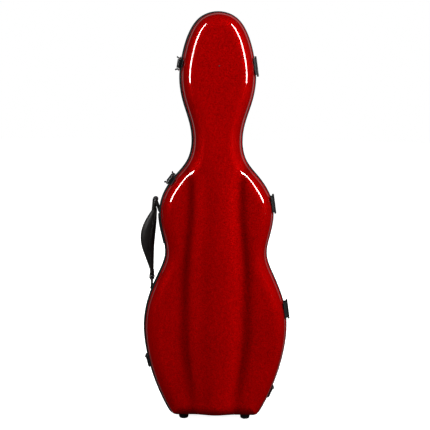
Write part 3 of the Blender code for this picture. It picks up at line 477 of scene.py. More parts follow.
def piece(name, look, angle, solids, body, cad=None, slot=None, ease_by=0.0, segments=2):
    """Hard piece that rides on a body; ease_by rounds its sharp edges."""
    obj = solid(name, look, angle, solids)
    if ease_by:
        bevel = obj.modifiers.new("ease", "BEVEL")
        bevel.width = ease_by * MM
        bevel.segments = segments
        bevel.limit_method = "ANGLE"
        bevel.angle_limit = math.radians(38)
    settle(obj, body, slot or look, *[cad] if cad else [])


def apply_modifiers(obj):
    """Replaces the object's mesh with its evaluated one."""
    graph = bpy.context.evaluated_depsgraph_get()
    graph.update()
    mesh = bpy.data.meshes.new_from_object(obj.evaluated_get(graph))
    obj.modifiers.clear()
    obj.data = mesh


def arc(centre, radius, first, last, count):
    angles = [math.radians(first + (last - first) * i / count) for i in range(count + 1)]
    return [(centre[0] + radius * math.cos(a), centre[1] + radius * math.sin(a)) for a in angles]


def frame_matrix(origin, first, second, third):
    matrix = Matrix((first, second, third)).transposed().to_4x4()
    matrix.translation = origin
    return matrix


def axes(frame_at, order):
    """The same frame with its columns reordered, such as 'yzx' for a prism whose run is x."""
    picked = {"x": frame_at.col[0], "y": frame_at.col[1], "z": frame_at.col[2]}
    return frame_matrix(frame_at.translation, *[picked[c].to_3d() for c in order])


def moved(frame_at, *offset):
    """The same frame with its origin moved by an offset along its own axes."""
    return frame_at @ Matrix.Translation(offset)


def turns(sides):
    return [2 * math.pi * k / sides for k in range(sides)]


def prism(polygon, low, high, to_world):
    """Rings with the polygon's (a, b) points, at c = low and at c = high."""
    return [[to_world @ Vector((a, b, c)) for a, b in polygon] for c in (low, high)]


def turned(to_world, profile, sides=32):
    """Rings of revolution about the frame's z axis, from (radius, z) points."""
    return [[to_world @ Vector((r * math.cos(a), r * math.sin(a), w)) for a in turns(sides)]
            for r, w in profile]


def wire(points, radius, closed=True, sides=14):
    """Rings of a round wire along a path of points."""
    count = len(points)
    rings = Loop() if closed else []
    up = None
    for i, p in enumerate(points):
        before = points[i - 1] if closed or i else p
        after = points[(i + 1) % count] if closed or i < count - 1 else p
        tangent = (after - before).normalized()
        if up is None:
            up = tangent.orthogonal().normalized()
        up = (up - tangent * up.dot(tangent)).normalized()
        side = tangent.cross(up)
        rings.append([p + radius * (math.cos(a) * up + math.sin(a) * side) for a in turns(sides)])
    return rings


def rectangle(left, right, low, high, radius, steps=6):
    """Outline with round corners, from the right upper one and counterclockwise."""
    corners = [(right - radius, high - radius), (left + radius, high - radius),
               (left + radius, low + radius), (right - radius, low + radius)]
    return np.array([p for k, corner in enumerate(corners)
                     for p in arc(corner, radius, 90 * k, 90 * k + 90, steps)])


def rounded_loop(length, width, radius, to_world):
    """Rectangle with round corners, from (0, -width/2) to (length, width/2), in the world."""
    flat = rectangle(0, length, -width / 2, width / 2, radius, 8)
    return [to_world @ Vector((a, b, 0)) for a, b in flat]


def lengths(points):
    """Running length along a path, from 0."""
    return np.concatenate([[0], np.cumsum(np.linalg.norm(np.diff(points, axis=0), axis=1))])


def unit_rows(rows):
    return rows / np.linalg.norm(rows, axis=1)[:, None]


def strap(name, path, across, half_width, thickness, body, cad):
    """Flat webbing bent along a path of points, with round selvedges and a weave map in metres."""
    p = np.array([tuple(q) for q in path], float)
    wide = np.array(across, float)
    n = unit_rows(np.cross(unit_rows(np.gradient(p, axis=0)), wide))
    run = lengths(p)
    t, w = thickness / 2, half_width
    edge = [(w - t, -t), (w - 0.3 * t, -0.7 * t), (w, 0), (w - 0.3 * t, 0.7 * t), (w - t, t)]
    section = [(-w + t, -t), (-0.33 * w, -t), (0.33 * w, -t), *edge, (0.33 * w, t), (-0.33 * w, t),
               *[(-a, b) for a, b in edge[:0:-1]]]
    bm = bmesh.new()
    layer = bm.loops.layers.uv.new("weave")
    rings = [[bm.verts.new(q + wide * a + m * b) for a, b in section] for q, m in zip(p, n)]
    for i in range(len(rings) - 1):
        for k in range(len(section)):
            j = (k + 1) % len(section)
            corners = ((i, k), (i, j), (i + 1, j), (i + 1, k))
            face = bm.faces.new([rings[row][column] for row, column in corners])
            for loop, (row, column) in zip(face.loops, corners):
                loop[layer].uv = (run[row] * MM, section[column][0] * MM)
    bm.faces.new(rings[0][::-1])
    bm.faces.new(rings[-1])
    settle(finish_mesh(name, bm, "webbing", 50), body, "webbing", cad)


def rounded_path(points, radius, steps=6):
    """Path whose inner corners are replaced by short curves of about the given radius."""
    pts = [Vector(p) for p in points]
    out = [pts[0]]
    for a, b, c in zip(pts, pts[1:], pts[2:]):
        reach = min(radius, (b - a).length * 0.45, (c - b).length * 0.45)
        start, end = b + (a - b).normalized() * reach, b + (c - b).normalized() * reach
        for i in range(steps + 1):
            t = i / steps
            out.append(start * (1 - t) ** 2 + b * 2 * t * (1 - t) + end * t**2)
    out.append(pts[-1])
    return out


def stitches(name, rows, radius, body, pitch=2.6):
    """Short raised stitches along each row, which is a list of points; a gap follows each one."""
    solids = []
    for row in rows:
        p = np.array([tuple(q) for q in row], float)
        run = lengths(p)
        count = max(1, int(run[-1] / pitch))
        for i in range(count):
            ends = [run[-1] * (i + share) / count for share in (0.12, 0.3, 0.5, 0.7, 0.88)]
            points = [Vector([float(np.interp(e, run, p[:, k])) for k in range(3)]) for e in ends]
            tangent = (points[-1] - points[0]).normalized()
            up = tangent.orthogonal().normalized()
            side = tangent.cross(up)
            solids.append([[q + radius * w * (math.cos(a) * up + math.sin(a) * side) for a in turns(8)]
                           for q, w in zip(points, (0.35, 0.9, 1.0, 0.9, 0.35))])
    piece(name, "thread", 60, solids, body, slot="webbing")


def rivets(name, frames, radius, body, height=0.9, look="hardware"):
    """Domed heads; each frame's z axis is the surface's normal."""
    profile = [(radius, -0.3), (radius, 0.25 * height), (radius * 0.9, 0.6 * height),
               (radius * 0.62, 0.88 * height), (radius * 0.25, height)]
    piece(name, look, 50, [turned(at, profile, 20) for at in frames], body)


# ---- outline and surfaces -----------------------------------------------------------------------------


def smooth_curve(points, first, last, per_span=30):
    """Cubic spline through the points with continuous curvature and the given end directions."""
    p = np.array(points, float)
    h = np.linalg.norm(np.diff(p, axis=0), axis=1)
    n = len(p)
    a = np.zeros((n, n))
    r = np.zeros((n, 2))
    a[0, 0] = a[-1, -1] = 1
    r[0], r[-1] = first, last
    for i in range(1, n - 1):
        a[i, i - 1], a[i, i], a[i, i + 1] = h[i], 2 * (h[i - 1] + h[i]), h[i - 1]
        r[i] = 3 * (h[i] * (p[i] - p[i - 1]) / h[i - 1] + h[i - 1] * (p[i + 1] - p[i]) / h[i])
    m = np.linalg.solve(a, r)
    out = []
    for i in range(n - 1):
        t = np.linspace(0, 1, per_span, endpoint=False)[:, None]
        out.append(
            (2 * t**3 - 3 * t**2 + 1) * p[i] + (t**3 - 2 * t**2 + t) * h[i] * m[i]
            + (3 * t**2 - 2 * t**3) * p[i + 1] + (t**3 - t**2) * h[i] * m[i + 1]
        )
    return np.vstack([*out, p[-1:]])


def lengths_along(points, bend_weight=0.0):
    """Running length in which a bend counts for more, so that it gets more points."""
    step = np.diff(points[:, :2], axis=0)
    size = np.linalg.norm(step, axis=1)
    turn = np.unwrap(np.arctan2(step[:, 1], step[:, 0]))
    bend = np.abs(np.gradient(turn))
    return np.concatenate([[0], np.cumsum(size + bend_weight * bend)])


def resample(points, count, bend_weight=0.0):
    run = lengths_along(points, bend_weight)
    at = np.linspace(0, run[-1], count + 1)
    return np.stack([np.interp(at, run, points[:, k]) for k in range(points.shape[1])], axis=1)


@functools.lru_cache(maxsize=1)
def half_outline():
    """Fine right half of the outline, from the top centre to the bottom centre: x, z and inward dx, dz."""
    side = smooth_curve(SIDE_POINTS, (1, 0), SIDE_END)
    start = np.array(SIDE_POINTS[-1], float)
    centre = start + CORNER_RADIUS * np.array([SIDE_END[1], -SIDE_END[0]])
    start_angle = math.degrees(math.atan2(*(start - centre)[::-1]))
    corner = np.array(arc(centre, CORNER_RADIUS, start_angle, -90, 16))
    bottom = np.array([(corner[-1][0], corner[-1][1]), (0, corner[-1][1])])
    along = np.linspace(0, 1, 61)[1:, None]
    fine = np.vstack([side[:-1], corner, bottom[0] + (bottom[1] - bottom[0]) * along])
    fine = resample(fine, 1400)
    tangent = np.gradient(fine, axis=0)
    tangent[0], tangent[-1] = (1, 0), (-1, 0)
    tangent /= np.linalg.norm(tangent, axis=1)[:, None]
    inward = np.stack([tangent[:, 1], -tangent[:, 0]], axis=1)
    step = lengths_along(fine)[-1] / (len(fine) - 1)
    reach = int(SMOOTHING / 2 / step)
    mirrored = inward * (-1, 1)
    padded = np.vstack([mirrored[reach:0:-1], inward, mirrored[-2:-reach - 2:-1]])
    kernel = np.ones(2 * reach + 1) / (2 * reach + 1)
    mean = np.stack([np.convolve(padded[:, k], kernel, "valid") for k in (0, 1)], axis=1)
    mean /= (mean * inward).sum(axis=1)[:, None]
    return np.hstack([fine, mean])


@functools.lru_cache(maxsize=1)
def perimeter():
    """Loop of x, z, inward dx, dz: down the right side, along the bottom, up the left, over the top."""
    fine = half_outline()
    angle = np.degrees(np.unwrap(np.arctan2(-fine[:, 3], -fine[:, 2])))
    top = int(np.argmax(angle < 45))
    low = len(fine) - 1 - int(np.argmax((angle > -60)[::-1]))
    half = END_COLUMNS // 2
    first = resample(fine[: top + 1], half)
    side = resample(fine[top : low + 1], SIDE_ROWS, BEND_WEIGHT)
    last = resample(fine[low:], half)
    right = np.vstack([first[:-1], side[:-1], last])
    left = right[1:-1][::-1] * (-1, 1, -1, 1)
    return np.vstack([right, left])


def smoothstep(low, high, value):
    t = np.clip((value - low) / (high - low), 0.0, 1.0)
    return t * t * (3 - 2 * t)


def hump_half(z):
    """Half width of the raised middle of a face at a height."""
    low = HUMP_BOTTOM + (HUMP_WAIST - HUMP_BOTTOM) * smoothstep(0, LOW_BOUT_Z, z)
    mid = low + (HUMP_SHOULDER - HUMP_WAIST) * smoothstep(WAIST_Z, SHOULDER_Z, z)
    return mid + (HUMP_HEAD - HUMP_SHOULDER) * smoothstep(SHOULDER_Z + 10, HEAD_Z, z) ** 2


class Half:
    """One half of the case, with its own face, side of the seam, and shift in x."""

    def __init__(self, body, sign, shift, levels, valley, widen, shade_strength):
        """Levels are the face's depths at its rim, on the hump, and on the head."""
        self.body, self.sign, self.shift = body, sign, shift
        self.levels, self.valley, self.widen, self.shade_strength = levels, valley, widen, shade_strength

    def face(self, x, z):
        """Depth of the face below the seam plane, for arrays of x and z."""
        shelf, crest, head = self.levels
        half = hump_half(z) * self.widen
        t = np.minimum(1.0, np.abs(x) / half)
        top = crest + (head - crest) * smoothstep(SHOULDER_Z - 10, HEAD_Z + 40, z)
        fade = smoothstep(HEAD_Z - 58, SHOULDER_Z + 40, z)
        dip = self.valley * np.exp(-(((np.abs(x) - half) / VALLEY_WIDTH) ** 2)) * fade
        return shelf + (top - shelf) * 0.5 * (1 + np.cos(math.pi * t)) - dip

    def ring(self, bm, inset, depth, share=None, less=0.0):
        """Ring of vertices at a depth, or, where a share is given, on the rounded part."""
        loop = perimeter()
        x, z = (loop[:, :2] + inset * loop[:, 2:]).T
        if share is None:
            y = np.full(len(x), float(depth))
        else:
            y = ROUND_START + (self.face(x, z) - less - ROUND_START) * share
        return [bm.verts.new(p) for p in np.stack([x + self.shift, self.sign * y, z], axis=1)]

    def patch(self, bm, ring, less):
        """Quads that fill the ring of the face, between its two sides and two ends."""
        start = END_COLUMNS // 2
        loop = ring[-start:] + ring[:-start + 1]
        corner = END_COLUMNS + SIDE_ROWS
        top, right = loop[:END_COLUMNS + 1], loop[END_COLUMNS:corner + 1]
        low, left = loop[corner:corner + END_COLUMNS + 1][::-1], loop[corner + END_COLUMNS:][::-1]
        grid = [top]
        for i in range(1, SIDE_ROWS):
            v = i / SIDE_ROWS
            row = [left[i]]
            for j in range(1, END_COLUMNS):
                u = j / END_COLUMNS
                corners = (top[0].co * (1 - u) * (1 - v) + top[-1].co * u * (1 - v)
                           + low[0].co * (1 - u) * v + low[-1].co * u * v)
                p = top[j].co * (1 - v) + low[j].co * v + left[i].co * (1 - u) + right[i].co * u - corners
                y = self.sign * (float(self.face(p.x - self.shift, p.z)) - less)
                row.append(bm.verts.new((p.x, y, p.z)))
            grid.append(row + [right[i]])
        grid.append(low)
        for upper, lower in zip(grid, grid[1:]):
            for j in range(END_COLUMNS):
                bm.faces.new((upper[j], upper[j + 1], lower[j + 1], lower[j]))

    def skin(self, bm, rings, less):
        """Bands between (inset, depth, share) rings and a patch in the last; gives the first ring."""
        made = [self.ring(bm, *ring, less) for ring in rings]
        for outer, inner in zip(made, made[1:]):
            quads(bm, outer, inner)
        self.patch(bm, made[-1], less)
        return made[0]

    def shell(self, name, look, outer, inner, thin, thick):
        """Closed shell between two skins, which lie under the face by thin and by thick."""
        bm = bmesh.new()
        quads(bm, *[self.skin(bm, rings, less) for rings, less in ((outer, thin), (inner, thick))])
        return finish_mesh(name, bm, look, 60)

    def bead(self, name, look, section):
        """Closed ring along the edge whose section is given as (outward, depth) points."""
        bm = bmesh.new()
        rows = [self.ring(bm, -outward, depth) for outward, depth in section]
        for first, second in zip(rows, rows[1:] + rows[:1]):
            quads(bm, first, second)
        return finish_mesh(name, bm, look, 50)

    def paint_shading(self, obj):
        """Attribute for painted shade along the hollows beside the hump and painted highlight on its
        flanks.
        """
        x, z = (read_points(obj.data) / MM).T[::2]
        across = np.abs(x - self.shift) / (hump_half(z) * self.widen)
        # Painted shade in the hollows (positive) and painted highlight on the hump's flanks (negative),
        # fading out towards the neck and the bottom.
        fade = smoothstep(HEAD_Z - 58, SHOULDER_Z + 40, z) * (0.2 + 0.8 * smoothstep(0, 130, z))
        painted_shading = np.exp(-(((across - 0.99) / 0.16) ** 2)) - np.exp(-(((across - 0.62) / 0.17) ** 2))
        layer = obj.data.attributes.new("painted_shading", "FLOAT", "POINT")
        layer.data.foreach_set("value", (painted_shading * fade * self.shade_strength).astype(np.float32))


# The last number is how strongly the painted shade and painted highlight show on each half.
LID = Half("lid", -1, LID_SHIFT, (LID_SHELF, LID_CREST, LID_HEAD), LID_VALLEY, 1.0, 1.0)
BASE = Half("base", 1, 0, (BASE_SHELF, BASE_CREST, BASE_HEAD), 0.0, BASE_HUMP_WIDENING, 0.35)


def round_rings(inset, rows=ROUND_ROWS):
    """The rounded part of a skin, with a curvature that fades out into the face."""
    width = ROUND_WIDTH - inset
    start = FLARE + inset
    out = []
    for i in range(rows + 1):
        a = math.radians(90 * i / rows)
        share = math.sqrt(1 - math.cos(a) ** ROUND_POWER)
        out.append((start + width * (1 - math.cos(a)), None, share))
    return out


def wall_rings(depths):
    """The wall from the seam to the start of the round, drawn in by the flare."""
    return [(FLARE * float(smoothstep(7.6, 12.4, d)), d, None) for d in depths]


def edge_frame(z, side):
    """Matrix from (along the edge, y, outward) to the world, on the base's edge; side is +1 or -1."""
    fine = half_outline()
    rows = fine[(fine[:, 1] < SIDE_TOP_Z) & (fine[:, 0] > SIDE_NEAR_X), :2]
    i = int(np.argmin(np.abs(rows[:, 1] - z)))
    tangent = rows[i + 1] - rows[i - 1]
    tangent /= np.linalg.norm(tangent)
    outward = Vector((-side * tangent[1], 0, tangent[0]))
    return frame_matrix(Vector((side * rows[i, 0], 0, rows[i, 1])), Y.cross(outward), Y, outward)


# ---- shells, trims, seal ------------------------------------------------------------------------------


def make_shells():
    outer = wall_rings((EDGE_DEPTH, 6.0, 7.6, 8.4, 9.2, 10.0, 10.8, 11.6, 12.4)) + round_rings(0)
    inner = [(WALL, EDGE_DEPTH, None), (WALL, 9.0, None)] + round_rings(WALL, 10)
    for half in (LID, BASE):
        obj = half.shell(f"{half.body}_skin", "shell", outer, inner, 0, WALL)
        half.paint_shading(obj)
        settle(obj, half.body, "shell", f"{half.body}_shell")


def make_trims():
    """Rubber channels with rounded lips, and the bead between them."""
    top = EDGE_DEPTH - GAP
    for half, proud in ((LID, LID_TRIM_PROUD), (BASE, BASE_TRIM_PROUD)):
        lip = min(0.9, proud * 0.5)
        section = [
            *arc((proud - lip, GAP + lip), lip, -90, 0, 4), (proud, TRIM_HEIGHT * 0.55),
            *arc((proud - lip, TRIM_HEIGHT - lip), lip, 0, 90, 4), (0.1, TRIM_HEIGHT), (0.1, top),
            (-WALL - GAP, top), (-WALL - GAP, top - TRIM_WEB), (0.0, top - TRIM_WEB), (0.0, GAP),
        ]
        trim = half.bead(f"{half.body}_edge_trim", "rubber", section)
        settle(trim, half.body, "trim", f"{half.body}_trim")
    bead = BASE.bead("seal_bead", "rubber", arc((-1.6, 0.85), 0.68, 0, 330, 11))
    settle(bead, "base", "seal", "seam_seal")


# ---- inside -----------------------------------------------------------------------------------------


def lining_rings(inset, rows):
    """Rounded rim at the seam, and the skin that follows the shell from there."""
    rim = [(inset + FLARE + 1.6, LINER_TOP, None), (inset + FLARE + 0.5, LINER_TOP + 0.4, None),
           (inset + FLARE - 0.4, LINER_TOP + 1.4, None), (inset + FLARE - 0.8, LINER_TOP + 3.0, None)]
    return rim + round_rings(inset, rows)


def make_lid_lining():
    inset = WALL + 0.5
    inner = inset + 4.0
    rounded = [(inner + FLARE - 1.6, LINER_TOP, None), (inner + FLARE - 0.6, LINER_TOP + 0.5, None),
               (inner + FLARE - 0.3, LINER_TOP + 1.8, None)]
    lining = LID.shell("lid_lining", "liner", lining_rings(inset, 8), rounded + round_rings(inner, 14),
                       inset, inner)
    settle(lining, "lid", "liner", "lid_liner")


def closed_smooth(points, length, step):
    """Closed outline resampled evenly, with its corners rounded over the given length."""
    loop = np.vstack([points, points[:1]])
    run = lengths(loop)
    at = np.linspace(0, run[-1], int(run[-1] / step), endpoint=False)
    even = np.stack([np.interp(at, run, loop[:, k]) for k in (0, 1)], axis=1)
    reach = max(1, int(length / 2 / step))
    kernel = np.hanning(2 * reach + 3)[1:-1]
    kernel /= kernel.sum()
    wrapped = np.vstack([even[-reach:], even, even[:reach]])
    return np.stack([np.convolve(wrapped[:, k], kernel, "valid") for k in (0, 1)], axis=1)


def outward_normals(points):
    """Outward normals of a closed outline."""
    d = unit_rows(np.roll(points, -1, axis=0) - np.roll(points, 1, axis=0))
    n = np.stack([d[:, 1], -d[:, 0]], axis=1)
    x, z = points[:, 0], points[:, 1]
    area = (x * np.roll(z, -1) - np.roll(x, -1) * z).sum()
    return n if area > 0 else -n


def hollow(name, outline, top, floor, edge, foot):
    """Cutter with a rounded mouth and a rounded floor edge, for a pocket in the lining."""
    rows = [(edge + 1.5, top - 8.0), (edge + 1.5, top - 0.01)]
    rows += [(edge * (1 - math.sin(a)), top + edge * (1 - math.cos(a)))
             for a in [math.radians(15 * k) for k in range(7)]]
    rows += [(-foot * (1 - math.cos(a)), floor - foot * (1 - math.sin(a)))
             for a in [math.radians(18 * k) for k in range(6)]]
    n = outward_normals(outline)
    rings = [[Vector((a, y, b)) for a, b in outline + n * offset] for offset, y in rows]
    return solid("cutter_" + name, "liner", 60, [rings])


def make_base_lining():
    """Foam tray covered in velour, hollowed for the violin and for the accessories."""
    inset = WALL + 0.5
    bm = bmesh.new()
    bm.faces.new(BASE.skin(bm, lining_rings(inset, 10), inset))
    tray = finish_mesh("base_lining", bm, "liner", 40)
    body = resample(smooth_curve(VIOLIN_POCKET, (1, 0), (-0.6, 0.8), 8), 60)
    scroll = resample(smooth_curve(SCROLL_POCKET, (0.5, 0.85), (-1, 0), 8), 30)
    right = np.vstack([body, scroll])
    pocket = closed_smooth(np.vstack([right, right[1:-1][::-1] * (-1, 1)]), 16.0, 3.0)
    half, low, high, depth = COMPARTMENT
    top = high + 11.8
    cutters = [
        hollow("violin", pocket, LINER_TOP, POCKET_FLOOR, 4.0, 5.0),
        hollow("recess", rectangle(-half - 3, half + 3, low - 3, top, 3.0), LINER_TOP, 4.8, 0.8, 0.3),
        hollow("hinge_slot", rectangle(-half - 3, half + 3, 90.5, top, 1.0), LINER_TOP, 6.8, 0.1, 0.3),
        hollow("compartment", rectangle(-half, half, low, high, 6.0), 4.8, depth, 1.0, 3.0),
    ]
    for cutter in cutters:
        cut = tray.modifiers.new(cutter.name, "BOOLEAN")
        cut.operation = "DIFFERENCE"
        cut.object = cutter
    apply_modifiers(tray)
    for cutter in cutters:
        bpy.data.objects.remove(cutter)
    tray.data.shade_smooth()
    tray.data.set_sharp_from_angle(angle=math.radians(45))
    settle(tray, "base", "liner", "base_liner")


SIMULATED_FRAMES = 20


def inflate(obj, pressure, cap, voxel):
    """Cloth simulation that swells the piece from inside; no point moves further than the cap."""
    remesh = obj.modifiers.new("even", "REMESH")
    remesh.mode = "VOXEL"
    remesh.voxel_size = voxel * MM
    apply_modifiers(obj)
    before = read_points(obj.data)
    cloth = obj.modifiers.new("cloth", "CLOTH")
    settings = cloth.settings
    settings.quality = 6
    settings.mass = 0.2
    settings.tension_stiffness = settings.compression_stiffness = 12
    settings.bending_stiffness = 0.4
    settings.use_pressure = True
    settings.uniform_pressure_force = pressure
    settings.effector_weights.gravity = 0.0
    cloth.collision_settings.use_self_collision = False
    cloth.point_cache.frame_start, cloth.point_cache.frame_end = 1, SIMULATED_FRAMES
    scene = bpy.context.scene
    for step in range(1, SIMULATED_FRAMES + 1):
        scene.frame_set(step)
    graph = bpy.context.evaluated_depsgraph_get()
    move = read_points(obj.evaluated_get(graph).to_mesh()) - before
    obj.modifiers.clear()
    size = np.linalg.norm(move, axis=1)[:, None]
    write_points(obj.data, before + move * np.minimum(1.0, cap * MM / np.maximum(size, 1e-9)))
    scene.frame_set(1)
    subdivide(obj)


def read_points(mesh):
    return np.array([v.co for v in mesh.vertices])


def write_points(mesh, points):
    mesh.vertices.foreach_set("co", points.astype(np.float32).ravel())
    mesh.update()


def subdivide(obj):
    fine = obj.modifiers.new("fine", "SUBSURF")
    fine.levels = fine.render_levels = 1
    apply_modifiers(obj)
    obj.data.shade_smooth()


def soften(obj, pressure, cap, voxel):
    inflate(obj, pressure, cap, voxel)


def keep_within(obj, low, high):
    """Holds a swollen piece inside the space of its CAD solid."""
    write_points(obj.data, np.clip(read_points(obj.data), np.array(low) * MM, np.array(high) * MM))


def pinched(low, high, pinch, inset=0.0):
    """Map from u, v in -1..1 to x, z of a cushion whose sides pull in between its corners."""
    cx, cz = (low[0] + high[0]) / 2, (low[2] + high[2]) / 2
    hx, hz = (high[0] - low[0]) / 2 - inset, (high[2] - low[2]) / 2 - inset
    return lambda u, v: (cx + u * (hx - pinch * (1 - v * v)), cz + v * (hz - pinch * (1 - u * u)))


def pad_form(name, low, high, crown, pinch):
    """Crowned cushion whose sides pull in between its corners, flat where it rests."""
    bm = bmesh.new()
    columns, rows = 18, 12
    place = pinched(low, high, pinch)
    edge = high[1] - crown * 0.35
    top, bottom = [], []
    for i in range(rows + 1):
        v = -1 + 2 * i / rows
        top.append([])
        bottom.append([])
        for j in range(columns + 1):
            u = -1 + 2 * j / columns
            x, z = place(u, v)
            dome_share = ((1 - abs(u) ** 2.6) * (1 - abs(v) ** 2.6)) ** 0.55
            top[i].append(bm.verts.new((x, edge - (edge - low[1]) * dome_share, z)))
            on_rim = i in (0, rows) or j in (0, columns)
            bottom[i].append(top[i][j] if on_rim else bm.verts.new(
                (x, edge + (high[1] - edge) * min(1.0, dome_share * 3), z)))
    for grid in (top, bottom):
        for i in range(rows):
            for j in range(columns):
                bm.faces.new((grid[i][j], grid[i][j + 1], grid[i + 1][j + 1], grid[i + 1][j]))
    return finish_mesh(name, bm, "padding", 80)


def piping(name, points, radius, body, look="padding", closed=True):
    """Covered cord sewn along a rim or a seam."""
    piece(name, look, 80, [wire(points, radius, closed, 10)], body)


def pad_rim(low, high, pinch, y, inset, steps=14):
    """Loop round a pad whose sides pull in between its corners."""
    place = pinched(low, high, pinch, inset)
    shares = [-1 + 2 * i / steps for i in range(steps)]
    unit = [((t, -1), (1, t), (-t, 1), (-1, -t))[side] for side in range(4) for t in shares]
    return [Vector((x, y, z)) for x, z in (place(u, v) for u, v in unit)]


def make_pads():
    """Suspension pads under the violin: swollen by simulation, tufted, with a corded rim."""
    floor = POCKET_FLOOR - GAP
    for name, cad, half, low_z, high_z, tufts in (
        ("lower_suspension_pad", "lower_pad", 68, 120, 168, 4),
        ("upper_suspension_pad", "upper_pad", 48, 404, 444, 3),
    ):
        low, high = (-half, floor - 9, low_z), (half, floor, high_z)
        shape = pad_form(name, (low[0] + 1, low[1] + 1.5, low[2] + 1),
                         (high[0] - 1, high[1] - 0.2, high[2] - 1), crown=9.0, pinch=1.6)
        soften(shape, pressure=3.0, cap=1.6, voxel=4.0)
        keep_within(shape, low, high)
        middle = (low_z + high_z) / 2
        xs = [(half - 16) * (2 * (i + 0.5) / tufts - 1) for i in range(tufts)]
        press_tufts(shape, middle, xs)
        settle(shape, "base", "padding", cad)
        piping(name + "_cord", pad_rim(low, high, 1.6, floor - 3.2, 1.2), 1.0, "base")
        frames = [frame_matrix(Vector((x, floor - 6.6, middle)), X, Z, -Y) for x in xs]
        rivets(name + "_buttons", frames, 2.2, "base", 0.8, "padding")


def press_tufts(obj, z, xs):
    """Presses small dimples, as from sewn buttons, into the cushion's top."""
    for vertex in obj.data.vertices:
        p = vertex.co / MM
        if p.y > POCKET_FLOOR - 5:
            continue
        for x in xs:
            reach = math.hypot(p.x - x, p.z - z)
            vertex.co.y += 2.4 * MM * math.exp(-((reach / 5.5) ** 2))
    obj.data.update()


def make_neck_support():
    """Padded cradle for the violin's neck, and the strap that holds the neck down."""
    floor = POCKET_FLOOR - GAP
    half = NECK_HALF - 0.8
    notch = [(-half + 3, floor), *arc((-half + 4, 23), 4, 180, 90, 5), *arc((-19, 23), 4, 90, 15, 4),
             *arc((0, 26), 13.4, 165, 15, 12), *arc((19, 23), 4, 165, 90, 4),
             *arc((half - 4, 23), 4, 90, 0, 5), (half - 3, floor)]
    rows = []
    for t in (-1 + 2 * i / 14 for i in range(15)):
        k = 1 - 0.10 * abs(t) ** 4
        rows.append([Vector((x * k, floor + (y - floor) * k, CRADLE_Z + 19.5 * t)) for x, y in notch])
    cradle = solid("neck_cradle_pad", "padding", 80, [rows])
    soften(cradle, pressure=3.0, cap=1.2, voxel=4.0)
    keep_within(cradle, (-half, 19, CRADLE_Z - 20), (half, floor, CRADLE_Z + 20))
    settle(cradle, "base", "padding", "neck_cradle")
    arch = [(-24, 18.6), (-24, 15), (-16, 10.5), (0, 8.8), (16, 10.5), (24, 15), (24, 18.6)]
    path = rounded_path([(x, y, CRADLE_Z) for x, y in arch], 7.0)
    strap("neck_band", path, Z, 12, 2.0, "base", "neck_strap")
    edges = [[Vector((p.x, p.y - 1.1, CRADLE_Z + side)) for p in path[6:-6]] for side in (-10, 10)]
    stitches("neck_band_stitches", edges, 0.35, "base")


def make_door():
    """Velour covered door of the accessory compartment, with its rod and pull tab."""
    half, low = COMPARTMENT[:2]
    y, z = DOOR_AXIS
    wide, bottom, top = half + 2.2, low - 2.4, z - 1.9
    edge = ((1.1, -1.2), (0.5, -1.05), (0.1, -0.6), (0.0, 0.0), (0.1, 0.6), (0.5, 1.05), (1.1, 1.2))
    board = []
    for inset, depth in edge:
        outline = rectangle(inset - wide, wide - inset, bottom + inset, top - inset, 4.0 - inset)
        board.append([Vector((a, y + depth, b)) for a, b in outline])
    across = frame_matrix(Vector(), Y, Z, X)
    knuckle = [*arc((y, z), 3.1, 240, -90, 24), *arc((y, z), 1.5, -90, 240, 24)]
    knuckles = [prism(knuckle, *ends, across) for ends in ((-70, -24), (24, 70))]
    piece("accessory_lid", "liner", 45, [board, *knuckles], "accessory_door", "accessory_door")
    end = half + 1
    rod = turned(frame_matrix(Vector((0, y, z)), Y, Z, X),
                 [(0.7, -end), (1.1, -end + 0.5), (1.1, end - 0.5), (0.7, end)], 20)
    piece("accessory_rod", "steel", 50, [rod], "base", "door_rod")
    tab = [(0, y - 1.6, low + 4), (0, y - 3.6, low + 1), (0, y - 4.4, low - 3), (0, y - 3.6, low - 6)]
    strap("accessory_pull_tab", rounded_path(tab, 3.0), X, 7, 1.0, "accessory_door", "door_tab")
    seam = [Vector((a, y - 1.25, b)) for a, b in rectangle(5 - wide, wide - 5, bottom + 5, top - 6, 3.0)]
    stitches("accessory_lid_stitches", [seam + seam[:1]], 0.3, "accessory_door", 3.2)


def room_under_lid(x, z, spread):
    """Depth at which something can stand on the lid's lining."""
    return float(min(LID.face(x + d, z) for d in spread)) - (WALL + 4.5) - GAP


def make_bow_holders():
    """Turning clips at the lower end of the lid, and loops for the bows' tips in its head."""
    for side, name in ((-1, "left"), (1, "right")):
        x = side * BOW_X + LID_SHIFT
        top = room_under_lid(side * BOW_X, BOW_Z, (-7, 0, 7))
        post = turned(frame_matrix(Vector((x, -top, BOW_Z)), X, Z, Y), [
            (6.2, -0.8), (6.5, 0.0), (6.5, 1.0), (6.0, 1.7), (2.6, 2.6), (2.6, 8.0), (4.2, 8.0),
            (4.2, 8.6), (3.4, 9.2), (1.2, 9.3)])
        piece(f"bow_clip_post_{name}", "plastic", 40, [post], "lid", f"bow_post_{name}", ease_by=0.2)
        outline = [*arc((x, BOW_Z + 11), 5.5, 0, 180, 18), *arc((x, BOW_Z - 11), 5.5, 180, 360, 18)]
        clip = prism(outline, 3.1 - top, 7.5 - top, frame_matrix(Vector(), X, Z, Y))
        piece(f"bow_clip_arm_{name}", "plastic", 40, [clip], f"bow_clip_{name}", f"bow_clip_{name}",
              ease_by=0.9, segments=3)
        x = side * TIP_X + LID_SHIFT
        depth = room_under_lid(side * TIP_X, TIP_Z, (-10, 10))
        arch = [(-11, 0.6), (-6.2, 1.2), (-5.6, 8), (0, 11), (5.6, 8), (6.2, 1.2), (11, 0.6)]
        path = rounded_path([(x + a, b - depth, TIP_Z) for a, b in arch], 4.0)
        strap(f"bow_tip_band_{name}", path, Z, 9, 1.2, "lid", f"tip_loop_{name}")


# ---- hinges and latches -----------------------------------------------------------------------------


